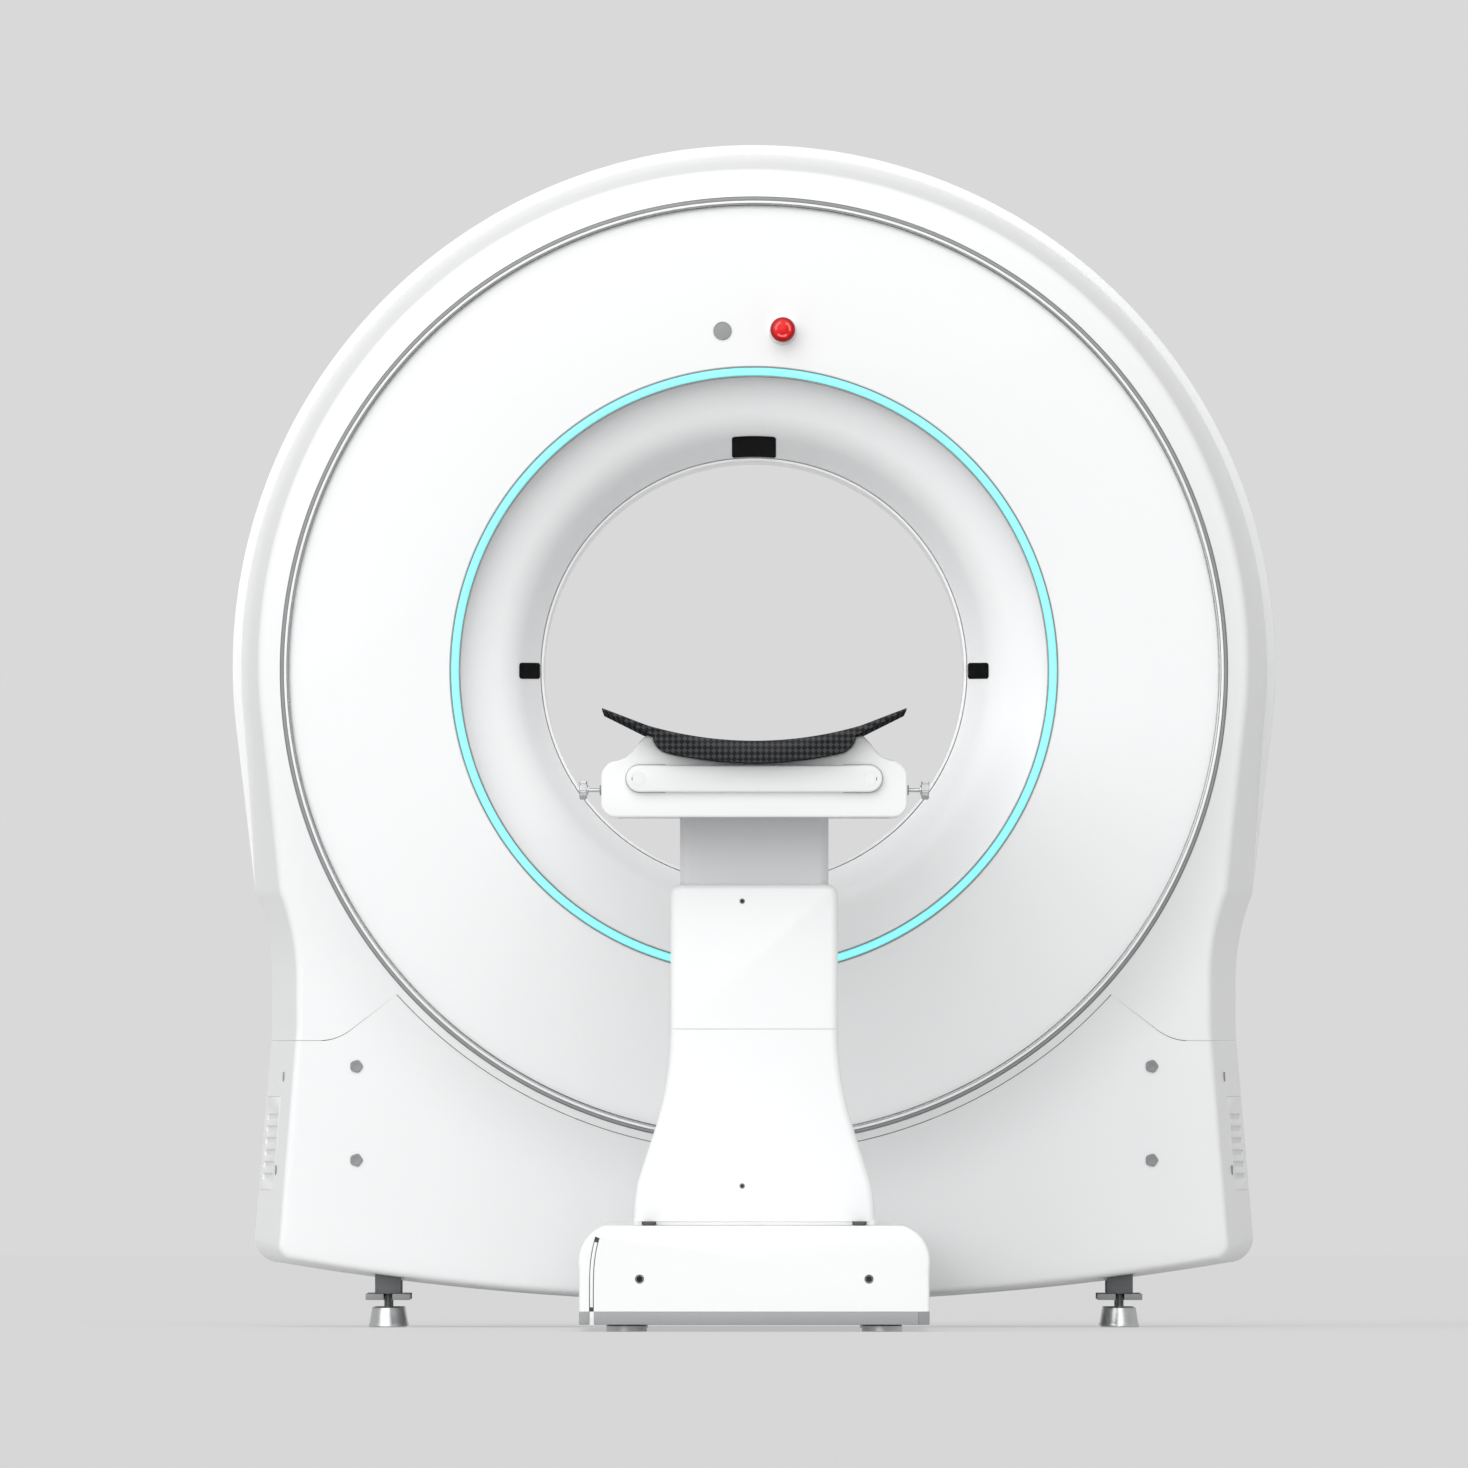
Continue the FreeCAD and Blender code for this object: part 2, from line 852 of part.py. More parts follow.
def rotor_fittings():
    back = depth_y(rotor_plate_depth)
    middle = back - tube_length / 2
    half = tube_width / 2
    low = bore_height + tube_radius_low
    bevel = 0.25 * tube_height
    section = [(half, low), (half, low + tube_height - bevel), (half - bevel, low + tube_height)]
    tube = slab(polygon(section + mirrored(section)), (back - tube_length, back))
    collimator = span_box(
        (-half * 0.6, half * 0.6), (middle - 60, middle + 60), (low - collimator_height, low)
    )
    reach = detector_inner + focus_radius
    focus = bore_height + focus_radius
    spread = math.radians(detector_half_angle)

    def on(radius, turn):
        return (radius * math.sin(turn), focus - radius * math.cos(turn))

    outer = reach + detector_wall
    moves = [
        ((0, focus - reach), on(reach, spread)),
        (on(outer, spread),),
        ((0, focus - outer), on(outer, -spread)),
        (on(reach, -spread),),
    ]
    detector_y = (middle - detector_width / 2, middle + detector_width / 2)
    detector = slab(outline(on(reach, -spread), moves), detector_y)
    bracket_half = tube_width / 4
    bracket_z = (focus - outer + 5, focus - reach - 5)
    bracket = span_box((-bracket_half, bracket_half), (detector_y[1], back), bracket_z)
    radial = hub_outer + 30
    height_span = (bore_height - generator_height / 2, bore_height + generator_height / 2)
    length_span = (back - generator_length, back)
    generator = span_box((radial, radial + generator_width), length_span, height_span)
    balance_start = back - balance_share * generator_length
    balance = span_box((-radial - generator_width, -radial), (balance_start, back), height_span)
    return {
        "xray_tube": tube,
        "beam_collimator": collimator,
        "detector_arc": detector,
        "detector_bracket": bracket,
        "high_voltage_generator": generator,
        "balance_weight": balance,
    }


# Patient table base


def base_wire(inset, low):
    half = table_half - inset
    top = base_top - inset
    wide = base_corner_width
    tall = base_corner_height
    share = math.sqrt(0.5)
    side = (half, top - tall)
    corner = (half - wide * (1 - share), top - tall * (1 - share))
    crown = (half - wide, top)
    moves = [
        (side,),
        (corner, crown),
        ((-crown[0], top),),
        ((-corner[0], corner[1]), (-side[0], side[1])),
        ((-half, low),),
        ((half, low),),
    ]
    return outline((half, low), moves)


def base_slot():
    # Where the carriage's lug passes down through the cover, over its whole travel.
    half = lug_half + slot_side_gap
    start = column_y() - lug_half - slot_end_gap
    end = column_y() + lug_half + column_travel + slot_end_gap
    return span_box((-half, half), (start, end), (base_top - 2 * base_cover_wall, base_top))


def base_end():
    return gantry_front - base_clearance


def base_parts():
    top = base_plate_low + base_plate_wall
    y_span = (table_front, base_end())
    cover = slab(base_wire(0, top), y_span)
    inner_span = (table_front + base_slit_depth + base_cover_wall, base_end() - base_cover_wall)
    hollow = slab(base_wire(base_cover_wall, top), inner_span)
    slit_span = (table_front, table_front + base_slit_depth)
    slit = slab(base_wire(base_slit_inset, top), slit_span).cut(
        slab(base_wire(base_slit_inset + base_slit_gap, top), slit_span)
    )
    reach = base_slit_reach - table_half
    slit = slit.common(span_box((-table_half, reach), slit_span, (0, base_slit_top)))
    plate_end = depth_y(foot_front_depth + cross_beam_width)
    slit_edge = -table_half + base_slit_inset
    plate_span = (table_front, plate_end)
    heights = (base_plate_low, top)
    plate = span_box((slit_edge + base_slit_gap, table_half), plate_span, heights)
    strip = span_box((-table_half, slit_edge), y_span, heights)
    rail_start = table_front + rail_margin
    rails = []
    for side in (-1, 1):
        x_span = (side * rail_half - rail_width / 2, side * rail_half + rail_width / 2)
        z_span = (base_top, base_top + rail_height)
        rails.append(span_box(x_span, (rail_start, base_end() - rail_margin), z_span))
    tie_y = depth_y(foot_front_depth)
    half_tie = cross_beam_width / 2
    tie = span_box((-tie_half, tie_half), (tie_y - half_tie, tie_y + half_tie), (top, beam_low))
    feet = []
    for side in (-1, 1):
        for y in (table_front + base_foot_inset, base_end() - base_foot_inset):
            foot = button(base_foot_radius, base_plate_low)
            foot.translate(Vector(side * base_foot_half, y, 0))
            feet.append(foot)
    return {
        "base_cover": single(cover.cut(hollow).cut(slit).cut(base_slot())),
        "base_plate": plate,
        "base_side_strip": strip,
        "guide_rails": Part.Compound(rails),
        "gantry_tie_block": tie,
        "base_feet": Part.Compound(feet),
    }


# Patient table column


def column_wire(inset, low, high):
    # The front view of the lower cover: an upright, a bend outwards, a slope, and a toe.
    foot = column_foot_half - inset
    half = column_half - inset
    turn = math.radians(column_bend_turn)

    def bend(angle):
        x = half + column_bend_radius * (1 - math.cos(angle))
        return (x, column_seam - column_bend_radius * math.sin(angle))

    slope_top = bend(turn)
    run = 0.85 * (foot - slope_top[0])
    slope_low = (slope_top[0] + run, slope_top[1] - run / math.tan(turn))
    toe = (foot, column_toe_height)
    right = [(slope_low,), (slope_top,), (bend(turn / 2), (half, column_seam)), ((half, high),)]
    left = [
        ((-half, high),),
        ((-half, column_seam),),
        ((-bend(turn / 2)[0], bend(turn / 2)[1]), (-slope_top[0], slope_top[1])),
        ((-slope_low[0], slope_low[1]),),
        ((-foot, column_toe_height),),
        ((-foot, low),),
        ((foot, low),),
    ]
    return outline((foot, low), [(toe,)] + right + left)


def column_y():
    return table_front + column_start


def column_parts():
    y = column_y()
    low = base_top + rail_height + slide_gap
    depth = (y - column_foot_depth, y + column_foot_depth)
    inner_depth = (depth[0] + column_wall, depth[1] - column_wall)
    skin = slab(column_wire(0, low, column_seam + 1), depth)
    lower = skin.cut(slab(column_wire(column_wall, low - 1, column_seam + 2), inner_depth))
    lower = lower.common(span_box((-table_half, table_half), depth, (low, column_seam)))
    upper_low = column_seam + seam_gap
    half = column_half
    upper = rounded_bar(half, column_foot_depth, column_corner, upper_low, column_top)
    hollow_top = column_top - column_wall
    inner = half - column_wall
    upper = upper.cut(span_box((-inner, inner), inner_depth, (upper_low, hollow_top)))
    mouth = stage_half + stage_gap
    mouth_depth = stage_half_depth + stage_gap
    y_mouth = (y - mouth_depth, y + mouth_depth)
    upper = upper.cut(span_box((-mouth, mouth), y_mouth, (hollow_top, column_top)))
    carriage_low = low + carriage_rise
    carriage_top = carriage_low + carriage_wall
    plate_half = column_foot_half - column_wall - seat_gap
    plate_depth = column_foot_depth - column_wall - seat_gap
    y_plate = (y - plate_depth, y + plate_depth)
    carriage = span_box((-plate_half, plate_half), y_plate, (carriage_low, carriage_top))
    lug_low = base_top - lug_drop
    lug = span_box((-lug_half, lug_half), (y - lug_half, y + lug_half), (lug_low, carriage_low))
    carriage = carriage.fuse(lug)
    profile_half = mouth + profile_wall
    profile_depth = mouth_depth + profile_wall
    y_profile = (y - profile_depth, y + profile_depth)
    profile = span_box((-profile_half, profile_half), y_profile, (carriage_top, hollow_top))
    profile = profile.cut(span_box((-mouth, mouth), y_mouth, (carriage_top, hollow_top)))
    shoes = []
    for side in (-1, 1):
        for end in (-1, 1):
            x = side * rail_half
            far = y + end * (plate_depth - shoe_length / 2)
            shoe_y = (far - shoe_length / 2, far + shoe_length / 2)
            groove = rail_width / 2 + slide_gap
            side_x = (x - shoe_width / 2, x + shoe_width / 2)
            shoe = span_box(side_x, shoe_y, (base_top + slide_gap, carriage_low))
            top = base_top + rail_height + slide_gap
            shoes.append(shoe.cut(span_box((x - groove, x + groove), shoe_y, (base_top, top))))
    return {
        "column_lower_cover": lower,
        "column_upper_cover": upper,
        "carriage_plate": carriage.removeSplitter(),
        "rail_shoes": Part.Compound(shoes),
        "column_profile": profile,
    }


def lift_parts():
    y = column_y()
    carriage_top = base_top + rail_height + slide_gap + carriage_rise + carriage_wall
    half = actuator_size / 2
    actuator = span_box((-half, half), (y - half, y + half), (carriage_top, actuator_top))
    bore_low = carriage_top + actuator_floor
    actuator = actuator.cut(rod_z(lift_rod_radius + shaft_gap, (bore_low, actuator_top), 0, y))
    outer = rounded_bar(stage_half, stage_half_depth, stage_corner, stage_low, holder_low)
    inner_x = stage_half - stage_wall
    inner_y = (y - stage_half_depth + stage_wall, y + stage_half_depth - stage_wall)
    inner = span_box((-inner_x, inner_x), inner_y, (stage_low, holder_low - stage_wall))
    rod = rod_z(lift_rod_radius, (lift_rod_low, holder_low - stage_wall), 0, y)
    return {
        "lift_actuator": actuator,
        "column_stage": outer.cut(inner),
        "lift_rod": rod,
    }


def rounded_bar(half_x, half_y, corner, low, high):
    y = column_y()
    bar = span_box((-half_x, half_x), (y - half_y, y + half_y), (low, high))
    upright = [edge for edge in bar.Edges if abs(edge.BoundBox.ZLength - (high - low)) < 1e-6]
    return bar.makeFillet(corner, upright)


# Cradle holder and cradle


def cup_place(corner, drop=0.0):
    return (corner[0], seat_height + corner[1] - drop)


def holder_wire():
    # The cup on top follows the cradle's underside, a seat gap below it.
    half = holder_half
    low = holder_low
    corner = holder_corner
    slack = corner * (1 - math.sqrt(0.5))
    flat = cup_place(cup_flat, seat_gap)
    turn = cup_place(cup_turn, seat_gap)
    horn = cup_place(cup_horn, seat_gap)
    right = [
        ((half - slack, low + slack), (half, low + corner)),
        (cup_place(holder_side),),
        (cup_place(shoulder), cup_place(shoulder_end)),
        (cup_place(saddle), cup_place(saddle_end)),
        (cup_place(horn_foot),),
        (cup_place(horn_top),),
        (horn,),
        (turn, flat),
    ]
    left = [
        (left_of(turn), left_of(horn)),
        (left_of(cup_place(horn_top)),),
        (left_of(cup_place(horn_foot)),),
        (left_of(cup_place(saddle_end)),),
        (left_of(cup_place(saddle)), left_of(cup_place(shoulder_end))),
        (left_of(cup_place(shoulder)), left_of(cup_place(holder_side))),
        ((-half, low + corner),),
        ((-half + slack, low + slack), (-half + corner, low)),
        ((half - corner, low),),
    ]
    cup = [((0, seat_height - seat_gap), left_of(flat))]
    return outline((half - corner, low), right + cup + left)


def holder_span():
    y = column_y()
    return (y - holder_length / 2, y + holder_length / 2)


def holder_parts():
    y_span = holder_span()
    body = slab(holder_wire(), y_span)
    inner_span = (y_span[0] + holder_wall, y_span[1] - holder_wall)
    inner_half = holder_half - holder_wall
    ceiling = seat_height - cup_floor
    side_ceiling = cup_place(holder_side)[1] - holder_wall
    cavity = span_box((-inner_half, inner_half), inner_span, (holder_low + holder_lip_height, side_ceiling))
    mouth_half = inner_half - holder_lip_width
    mouth = span_box((-mouth_half, mouth_half), inner_span, (holder_low, ceiling))
    body = body.cut(cavity).cut(mouth)
    clamp_y = y_span[0] + clamp_setback
    bore = clamp_rod_radius + shaft_gap
    bore_y = (clamp_y - bore, clamp_y + bore)
    bore_x = (-holder_half, holder_half)
    body = body.cut(span_box(bore_x, bore_y, (clamp_height - bore, clamp_height + bore)))
    plate_half = mouth_half - seat_gap
    plate_span = (inner_span[0] + seat_gap, inner_span[1] - seat_gap)
    plate = span_box((-plate_half, plate_half), plate_span, (holder_low, holder_low + holder_plate_wall))
    radius = bar_height / 2
    middle = bar_high - radius
    bar_low = bar_high - bar_height
    straight = bar_half - radius
    moves = [
        ((bar_half, middle), (straight, bar_high)),
        ((-straight, bar_high),),
        ((-bar_half, middle), (-straight, bar_low)),
        ((straight, bar_low),),
    ]
    bar = slab(outline((straight, bar_low), moves), (y_span[0] - bar_proud, y_span[0]))
    return {
        "cradle_holder": single(body),
        "holder_base_plate": plate,
        "holder_front_bar": bar,
    }


def clamp_screw(side):
    y = holder_span()[0] + clamp_setback
    way = Vector(side, 0, 0)
    length = clamp_head_start - clamp_rod_inner
    rod_base = Vector(side * clamp_rod_inner, y, clamp_height)
    rod = Part.makeCylinder(clamp_rod_radius, length)
    head = many_sided((clamp_head_radius, clamp_head_radius), clamp_sides, clamp_head_length)
    head = stood(head, Vector(side * clamp_head_start, y, clamp_height), way)
    return stood(rod, rod_base, way).fuse(head)


def cradle():
    tip = cup_place(cup_tip)
    rim = (cradle_half, tip[1] + cradle_edge)
    horn = cup_place(cup_horn)
    turn = cup_place(cup_turn)
    flat = cup_place(cup_flat)
    wing = cup_place(wing_bend)
    moves = [
        (horn,),
        (turn, flat),
        ((0, seat_height), left_of(flat)),
        (left_of(turn), left_of(horn)),
        (left_of(tip),),
        (left_of(rim),),
        (left_of(wing),),
        ((0, seat_height + cradle_thickness), wing),
        (rim,),
        (tip,),
    ]
    start = holder_span()[0] - cradle_overhang
    return slab(outline(tip, moves), (start, start + cradle_length))


def build():
    parts = housing_parts()
    panel = front_panel()
    flare = front_flare()
    parts["front_panel"] = panel
    parts["trim_ring"] = trim_ring()
    parts["light_ring"] = light_ring()
    parts["front_flare"] = flare
    parts["laser_windows"] = laser_windows(flare)
    parts["bore_tunnel"] = bore_tunnel()
    parts.update(control_parts())
    parts["cover_screw_caps"] = cover_caps()
    parts["gantry_frame"] = gantry_frame()
    parts.update(foot_parts())
    parts["rotor_drum"] = rotor_drum()
    parts["bearing_ring"] = bearing_ring()
    parts.update(drive_parts())
    parts.update(rotor_fittings())
    parts.update(base_parts())
    parts.update(column_parts())
    parts.update(lift_parts())
    parts.update(holder_parts())
    parts["clamp_screw_left"] = clamp_screw(-1)
    parts["clamp_screw_right"] = clamp_screw(1)
    parts["patient_cradle"] = cradle()
    return parts


os.makedirs("parts", exist_ok=True)
for name, shape in build().items():
    good = all(solid.isValid() and solid.Volume > 0 for solid in shape.Solids)
    print(name, len(shape.Solids), good, round(sum(solid.Volume for solid in shape.Solids)))
    shape.exportStep("parts/" + name + ".step")
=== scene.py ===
import json
import math
import bmesh
import bpy
from mathutils import Matrix, Vector

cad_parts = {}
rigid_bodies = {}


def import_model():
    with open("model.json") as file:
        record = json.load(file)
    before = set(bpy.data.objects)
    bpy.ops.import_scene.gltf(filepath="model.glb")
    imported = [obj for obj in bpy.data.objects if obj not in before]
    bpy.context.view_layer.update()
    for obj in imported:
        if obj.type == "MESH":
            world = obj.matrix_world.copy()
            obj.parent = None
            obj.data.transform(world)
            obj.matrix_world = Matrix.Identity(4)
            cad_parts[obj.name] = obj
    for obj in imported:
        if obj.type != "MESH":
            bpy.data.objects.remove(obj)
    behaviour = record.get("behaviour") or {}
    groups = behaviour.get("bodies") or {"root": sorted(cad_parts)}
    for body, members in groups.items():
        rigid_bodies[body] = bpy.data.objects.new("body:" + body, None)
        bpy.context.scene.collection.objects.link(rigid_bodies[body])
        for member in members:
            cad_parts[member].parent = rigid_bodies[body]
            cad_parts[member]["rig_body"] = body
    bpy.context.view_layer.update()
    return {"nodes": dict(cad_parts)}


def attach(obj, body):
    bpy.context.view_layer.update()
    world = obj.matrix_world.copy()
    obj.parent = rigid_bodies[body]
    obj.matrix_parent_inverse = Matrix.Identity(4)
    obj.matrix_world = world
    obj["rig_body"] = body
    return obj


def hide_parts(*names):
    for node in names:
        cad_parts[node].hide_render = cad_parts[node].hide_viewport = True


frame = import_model()
nodes = frame["nodes"]
boreHeight = 0.938
gantryFront = 0.480


# Shader maths as Python expressions


class Val:
    # A shader socket that takes part in sums and products.
    def __init__(self, tree, socket):
        self.tree = tree
        self.socket = socket

    def node(self, kind, settings, values, out=0):
        made = self.tree.nodes.new(kind)
        for key, value in settings.items():
            setattr(made, key, value)
        for key, value in values.items() if isinstance(values, dict) else enumerate(values):
            if isinstance(value, Val):
                self.tree.links.new(value.socket, made.inputs[key])
            else:
                made.inputs[key].default_value = value
        return Val(self.tree, made.outputs[out])

    def math(self, kind, *others):
        return self.node("ShaderNodeMath", {"operation": kind}, [self, *others])

    def __add__(self, other):
        return self.math("ADD", other)

    def __sub__(self, other):
        return self.math("SUBTRACT", other)

    def __rsub__(self, other):
        return self.math("MULTIPLY_ADD", -1.0, other)

    def __mul__(self, other):
        return self.math("MULTIPLY", other)

    __radd__ = __add__
    __rmul__ = __mul__

    def stretched(self, scales):
        return self.node("ShaderNodeVectorMath", {"operation": "MULTIPLY"}, [self, scales])

    def between(self, low, high, start=0.0, end=1.0):
        return self.node("ShaderNodeMapRange", {}, [self, low, high, start, end])

    def noise(self, scale, detail=3.0, rough=0.5):
        values = {"Vector": self, "Scale": scale, "Detail": detail, "Roughness": rough}
        return self.node("ShaderNodeTexNoise", {}, values)

    def parts(self):
        outs = self.node("ShaderNodeSeparateXYZ", {}, [self]).socket.node.outputs
        return [Val(self.tree, out) for out in outs]

    def mix(self, first, second):
        values = {0: self, 6: first, 7: second}
        return self.node("ShaderNodeMix", {"data_type": "RGBA"}, values, out=2)

    def tint(self, color, dim, bright, edge=0.3):
        # The colour, dimmer where this value is low and brighter where it is high.
        return self.between(edge, 1.0 - edge).mix(scaled(color, dim), scaled(color, bright))


def scaled(color, amount):
    return (*[min(part * amount, 1.0) for part in color], 1.0)


def shade(name, color, rough=0.4, metal=0.0, coat=0.0, gloss=0.5):
    # A fresh material: returns it, its shader node and the Object coordinate.
    material = bpy.data.materials.new(name)
    material.use_nodes = True
    material.diffuse_color = (*color, 1.0)
    tree = material.node_tree
    shader = tree.nodes["Principled BSDF"]
    plain = {
        "Base Color": (*color, 1.0), "Roughness": rough, "Metallic": metal,
        "Coat Weight": coat, "Specular IOR Level": gloss,
    }
    for label, value in plain.items():
        shader.inputs[label].default_value = value
    return material, shader, Val(tree, tree.nodes.new("ShaderNodeTexCoord").outputs["Object"])


def feed(value, shader, name):
    value.tree.links.new(value.socket, shader.inputs[name])


def relief(height, shader, distance, strength=0.5):
    values = {"Height": height, "Distance": distance, "Strength": strength}
    feed(height.node("ShaderNodeBump", {}, values), shader, "Normal")


def coated(name, color, rough, grain, depth, tone, coat=0.0, gloss=0.5):
    # Moulded or painted surface: a fine texture, slow colour drift and uneven gloss.
    material, shader, here = shade(name, color, rough, coat=coat, gloss=gloss)
    drift = here.noise(2.3, 2.0)
    smear = here.noise(14.0, 5.0, 0.6)
    feed(drift.tint(color, 1.0 - tone, 1.0 + tone), shader, "Base Color")
    limits = (rough * (1.0 - 2 * tone), rough * (1.0 + 2 * tone))
    feed(smear.between(0.3, 0.7, *limits), shader, "Roughness")
    relief(here.noise(grain, 2.0), shader, depth)
    return material


def brushed(name, color, rough, stretch, streak=0.12):
    # Metal with fine lines that run along the axis whose stretch is small.
    material, shader, here = shade(name, color, rough, metal=1.0)
    lines = here.stretched(stretch).noise(1.0, 4.0, 0.7)
    cloud = here.noise(9.0, 4.0)
    feed(lines.tint(color, 1.0 - streak, 1.0 + streak, 0.25), shader, "Base Color")
    feed((lines + cloud).between(0.6, 1.4, rough * 0.75, rough * 1.35), shader, "Roughness")
    relief(lines, shader, 0.00003, 0.4)
    return material


def woven(name, coat, gloss):
    # Carbon twill on the piece's own map, whose unit is a metre.
    s = {"pitch": 0.0058, "dark": (0.007, 0.007, 0.008), "pale": (0.062, 0.064, 0.068)}
    material, shader, here = shade(name, s["dark"], 0.34, coat=coat, gloss=gloss)
    tree = material.node_tree
    across, along = Val(tree, tree.nodes.new("ShaderNodeUVMap").outputs["UV"]).parts()[:2]
    diagonal = 0.7071 / s["pitch"]
    u = (across + along) * diagonal
    v = (across - along) * diagonal
    step = (u.math("FLOOR") + v.math("FLOOR")) * 0.5
    weft = step.math("FRACT").math("GREATER_THAN", 0.25)
    inU = u.math("FRACT") - 0.5
    inV = v.math("FRACT") - 0.5
    crownU = 1.0 - (inU * inU) * 3.2
    crownV = 1.0 - (inV * inV) * 3.2
    threads = weft * (u * 22.0).math("SINE") + (1.0 - weft) * (v * 22.0).math("SINE")
    # Each tow is painted lighter along its crown: a painted sheen. The same crown shape also drives
    # the bump.
    bulgeAndSheen = weft * crownV + (1.0 - weft) * crownU
    light = weft * 0.75 + threads * 0.07 + bulgeAndSheen * 0.25
    color = light.between(0.1, 1.1).mix(scaled(s["dark"], 1), scaled(s["pale"], 1))
    feed(color, shader, "Base Color")
    feed(here.noise(40.0).between(0.3, 0.7, 0.24, 0.36), shader, "Roughness")
    relief(bulgeAndSheen + threads * 0.15, shader, 0.00012, 0.5)
    return material


def glowing(name, color, strength):
    # A diffuser that lets its own light through a little unevenly.
    material, shader, here = shade(name, color, 0.35)
    cloud = here.noise(26.0, 3.0)
    feed(cloud.tint(color, 0.97, 1.0), shader, "Base Color")
    feed(cloud.tint(color, 0.98, 1.0), shader, "Emission Color")
    shader.inputs["Emission Strength"].default_value = strength
    return material


def grey(level):
    # A grey that leans a little to blue.
    return (level, level + 0.005, level + 0.01)


paint = {
    # Name, colour, roughness, grain per metre, grain depth, tone drift, clear coat, gloss.
    "cover": coated("coverWhite", grey(0.89), 0.34, 700, 3e-6, 0.004, 0.15),
    "panel": coated("panelWhite", grey(0.905), 0.3, 500, 8e-6, 0.003, 0.2),
    "inner": coated("innerWhite", grey(0.9), 0.42, 600, 8e-6, 0.005),
    "bar": coated("barWhite", grey(0.86), 0.3, 900, 2e-5, 0.004, 0.2),
    "stagePaint": coated("stagePaint", (0.8, 0.805, 0.815), 0.4, 900, 2e-5, 0.008),
    # crest: the white band on the trim ring's crest, a painted highlight
    "crest": coated("trimCrest", grey(0.9), 0.18, 300, 1e-5, 0.01, 0.6),
    # edging also draws the dark line round the holder bar's ends, which is painted shade
    "edging": coated("trimEdging", grey(0.3), 0.45, 900, 2e-5, 0.05),
    "black": coated("windowBlack", (0.0025, 0.0025, 0.003), 0.3, 300, 1e-5, 0.2, 0.0, 0.05),
    "gasket": coated("gasketGrey", (0.3, 0.31, 0.32), 0.6, 1200, 2e-5, 0.08),
    "dark": coated("darkPlastic", (0.06, 0.062, 0.065), 0.5, 1500, 5e-5, 0.12),
    "cap": coated("capGrey", (0.27, 0.28, 0.29), 0.45, 1400, 4e-5, 0.08),
    "lamp": coated("lampGrey", (0.28, 0.282, 0.285), 0.36, 800, 2e-5, 0.05, 0.1),
    "red": coated("stopRed", (0.8, 0.003, 0.004), 0.36, 900, 2e-5, 0.05, 0.1, 0.25),
    # the stop head's darker red side is painted shade
    "redRim": coated("stopShadedRed", (0.42, 0.002, 0.005), 0.34, 900, 2e-5, 0.06, 0.15, 0.3),
    "redPale": coated("stopPaleRed", (0.85, 0.16, 0.15), 0.4, 900, 2e-5, 0.05, 0.0, 0.3),
    "frame": coated("framePaint", (0.1, 0.11, 0.125), 0.5, 1100, 8e-5, 0.1),
    "motor": coated("darkPaint", (0.06, 0.062, 0.066), 0.48, 1100, 8e-5, 0.12),
    "block": coated("blockGrey", grey(0.2), 0.45, 1100, 6e-5, 0.08),
    "plateEnd": coated("plateEndGrey", grey(0.26), 0.42, 1100, 4e-5, 0.05),
    "disc": coated("discGrey", grey(0.8), 0.42, 1100, 4e-5, 0.04),
    "plate": coated("plateGrey", grey(0.34), 0.4, 1100, 4e-5, 0.05),
    # the rubber paint also fills the screws' sockets, where it is painted shade
    "rubber": coated("beltRubberAndShade", (0.02, 0.02, 0.021), 0.75, 2000, 1e-4, 0.2),
    "weight": coated("castWeight", (0.045, 0.048, 0.052), 0.7, 500, 3e-4, 0.25),
    "steel": brushed("plainSteel", grey(0.55), 0.3, (40.0, 700.0, 700.0)),
    "trim": brushed("trimMetal", grey(0.5), 0.24, (500.0, 3.0, 500.0), 0.06),
    "drum": brushed("rotorAluminium", (0.6, 0.61, 0.62), 0.36, (300.0, 6.0, 300.0)),
    "carbon": woven("carbonTwill", 0.1, 0.08),
    "carbonUnder": woven("carbonUnderside", 0.0, 0.0),
    "light": glowing("lightStrip", (0.25, 0.86, 0.86), 0.5),
}
print("materials made:", len(paint))


# Mesh helpers; a look is a body, a slot, a paint and the nodes that the piece stands for


def placed(name, data):
    obj = bpy.data.objects.new(name, data)
    bpy.context.scene.collection.objects.link(obj)
    return obj


def gone(*objs):
    for obj in objs:
        bpy.data.objects.remove(obj, do_unlink=True)


def facing(mesh, near=1e-6, flat=None):
    # Joins doubles, turns the faces outwards and, if asked, melts flat neighbours together.
    work = bmesh.new()
    work.from_mesh(mesh)
    bmesh.ops.remove_doubles(work, verts=work.verts, dist=near)
    if flat is not None:
        angle = math.radians(flat)
        bmesh.ops.dissolve_limit(work, angle_limit=angle, verts=work.verts, edges=work.edges)
    bmesh.ops.recalc_face_normals(work, faces=work.faces)
    work.to_mesh(mesh)
    work.free()


def solid(verts, faces):
    # A scratch object from corners and faces.
    mesh = bpy.data.meshes.new("scratch")
    mesh.from_pydata([tuple(v) for v in verts], [], faces)
    facing(mesh)
    return placed("scratch", mesh)


def smooth(mesh, sharp):
    mesh.shade_smooth()
    mesh.set_sharp_from_angle(angle=math.radians(sharp))


def settle(obj, body, slot, material, replaced=()):
    obj.data.materials.clear()
    obj.data.materials.append(paint[material])
    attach(obj, body)
    if replaced:
        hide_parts(*replaced)
    return obj


def finished(obj, name, *look, sharp=32.0):
    obj.name = name
    obj.data.name = name
    facing(obj.data)
    smooth(obj.data, sharp)
    return settle(obj, *look)


def baked(obj):
    # Turns the object's modifiers into its mesh.
    graph = bpy.context.evaluated_depsgraph_get()
    mesh = bpy.data.meshes.new_from_object(obj.evaluated_get(graph))
    obj.modifiers.clear()
    obj.data = mesh


def bevelled(obj, width, segments, angle):
    bevel = obj.modifiers.new("edges", "BEVEL")
    bevel.width = width
    bevel.segments = segments
    bevel.limit_method = "ANGLE"
    bevel.angle_limit = math.radians(angle)
    baked(obj)


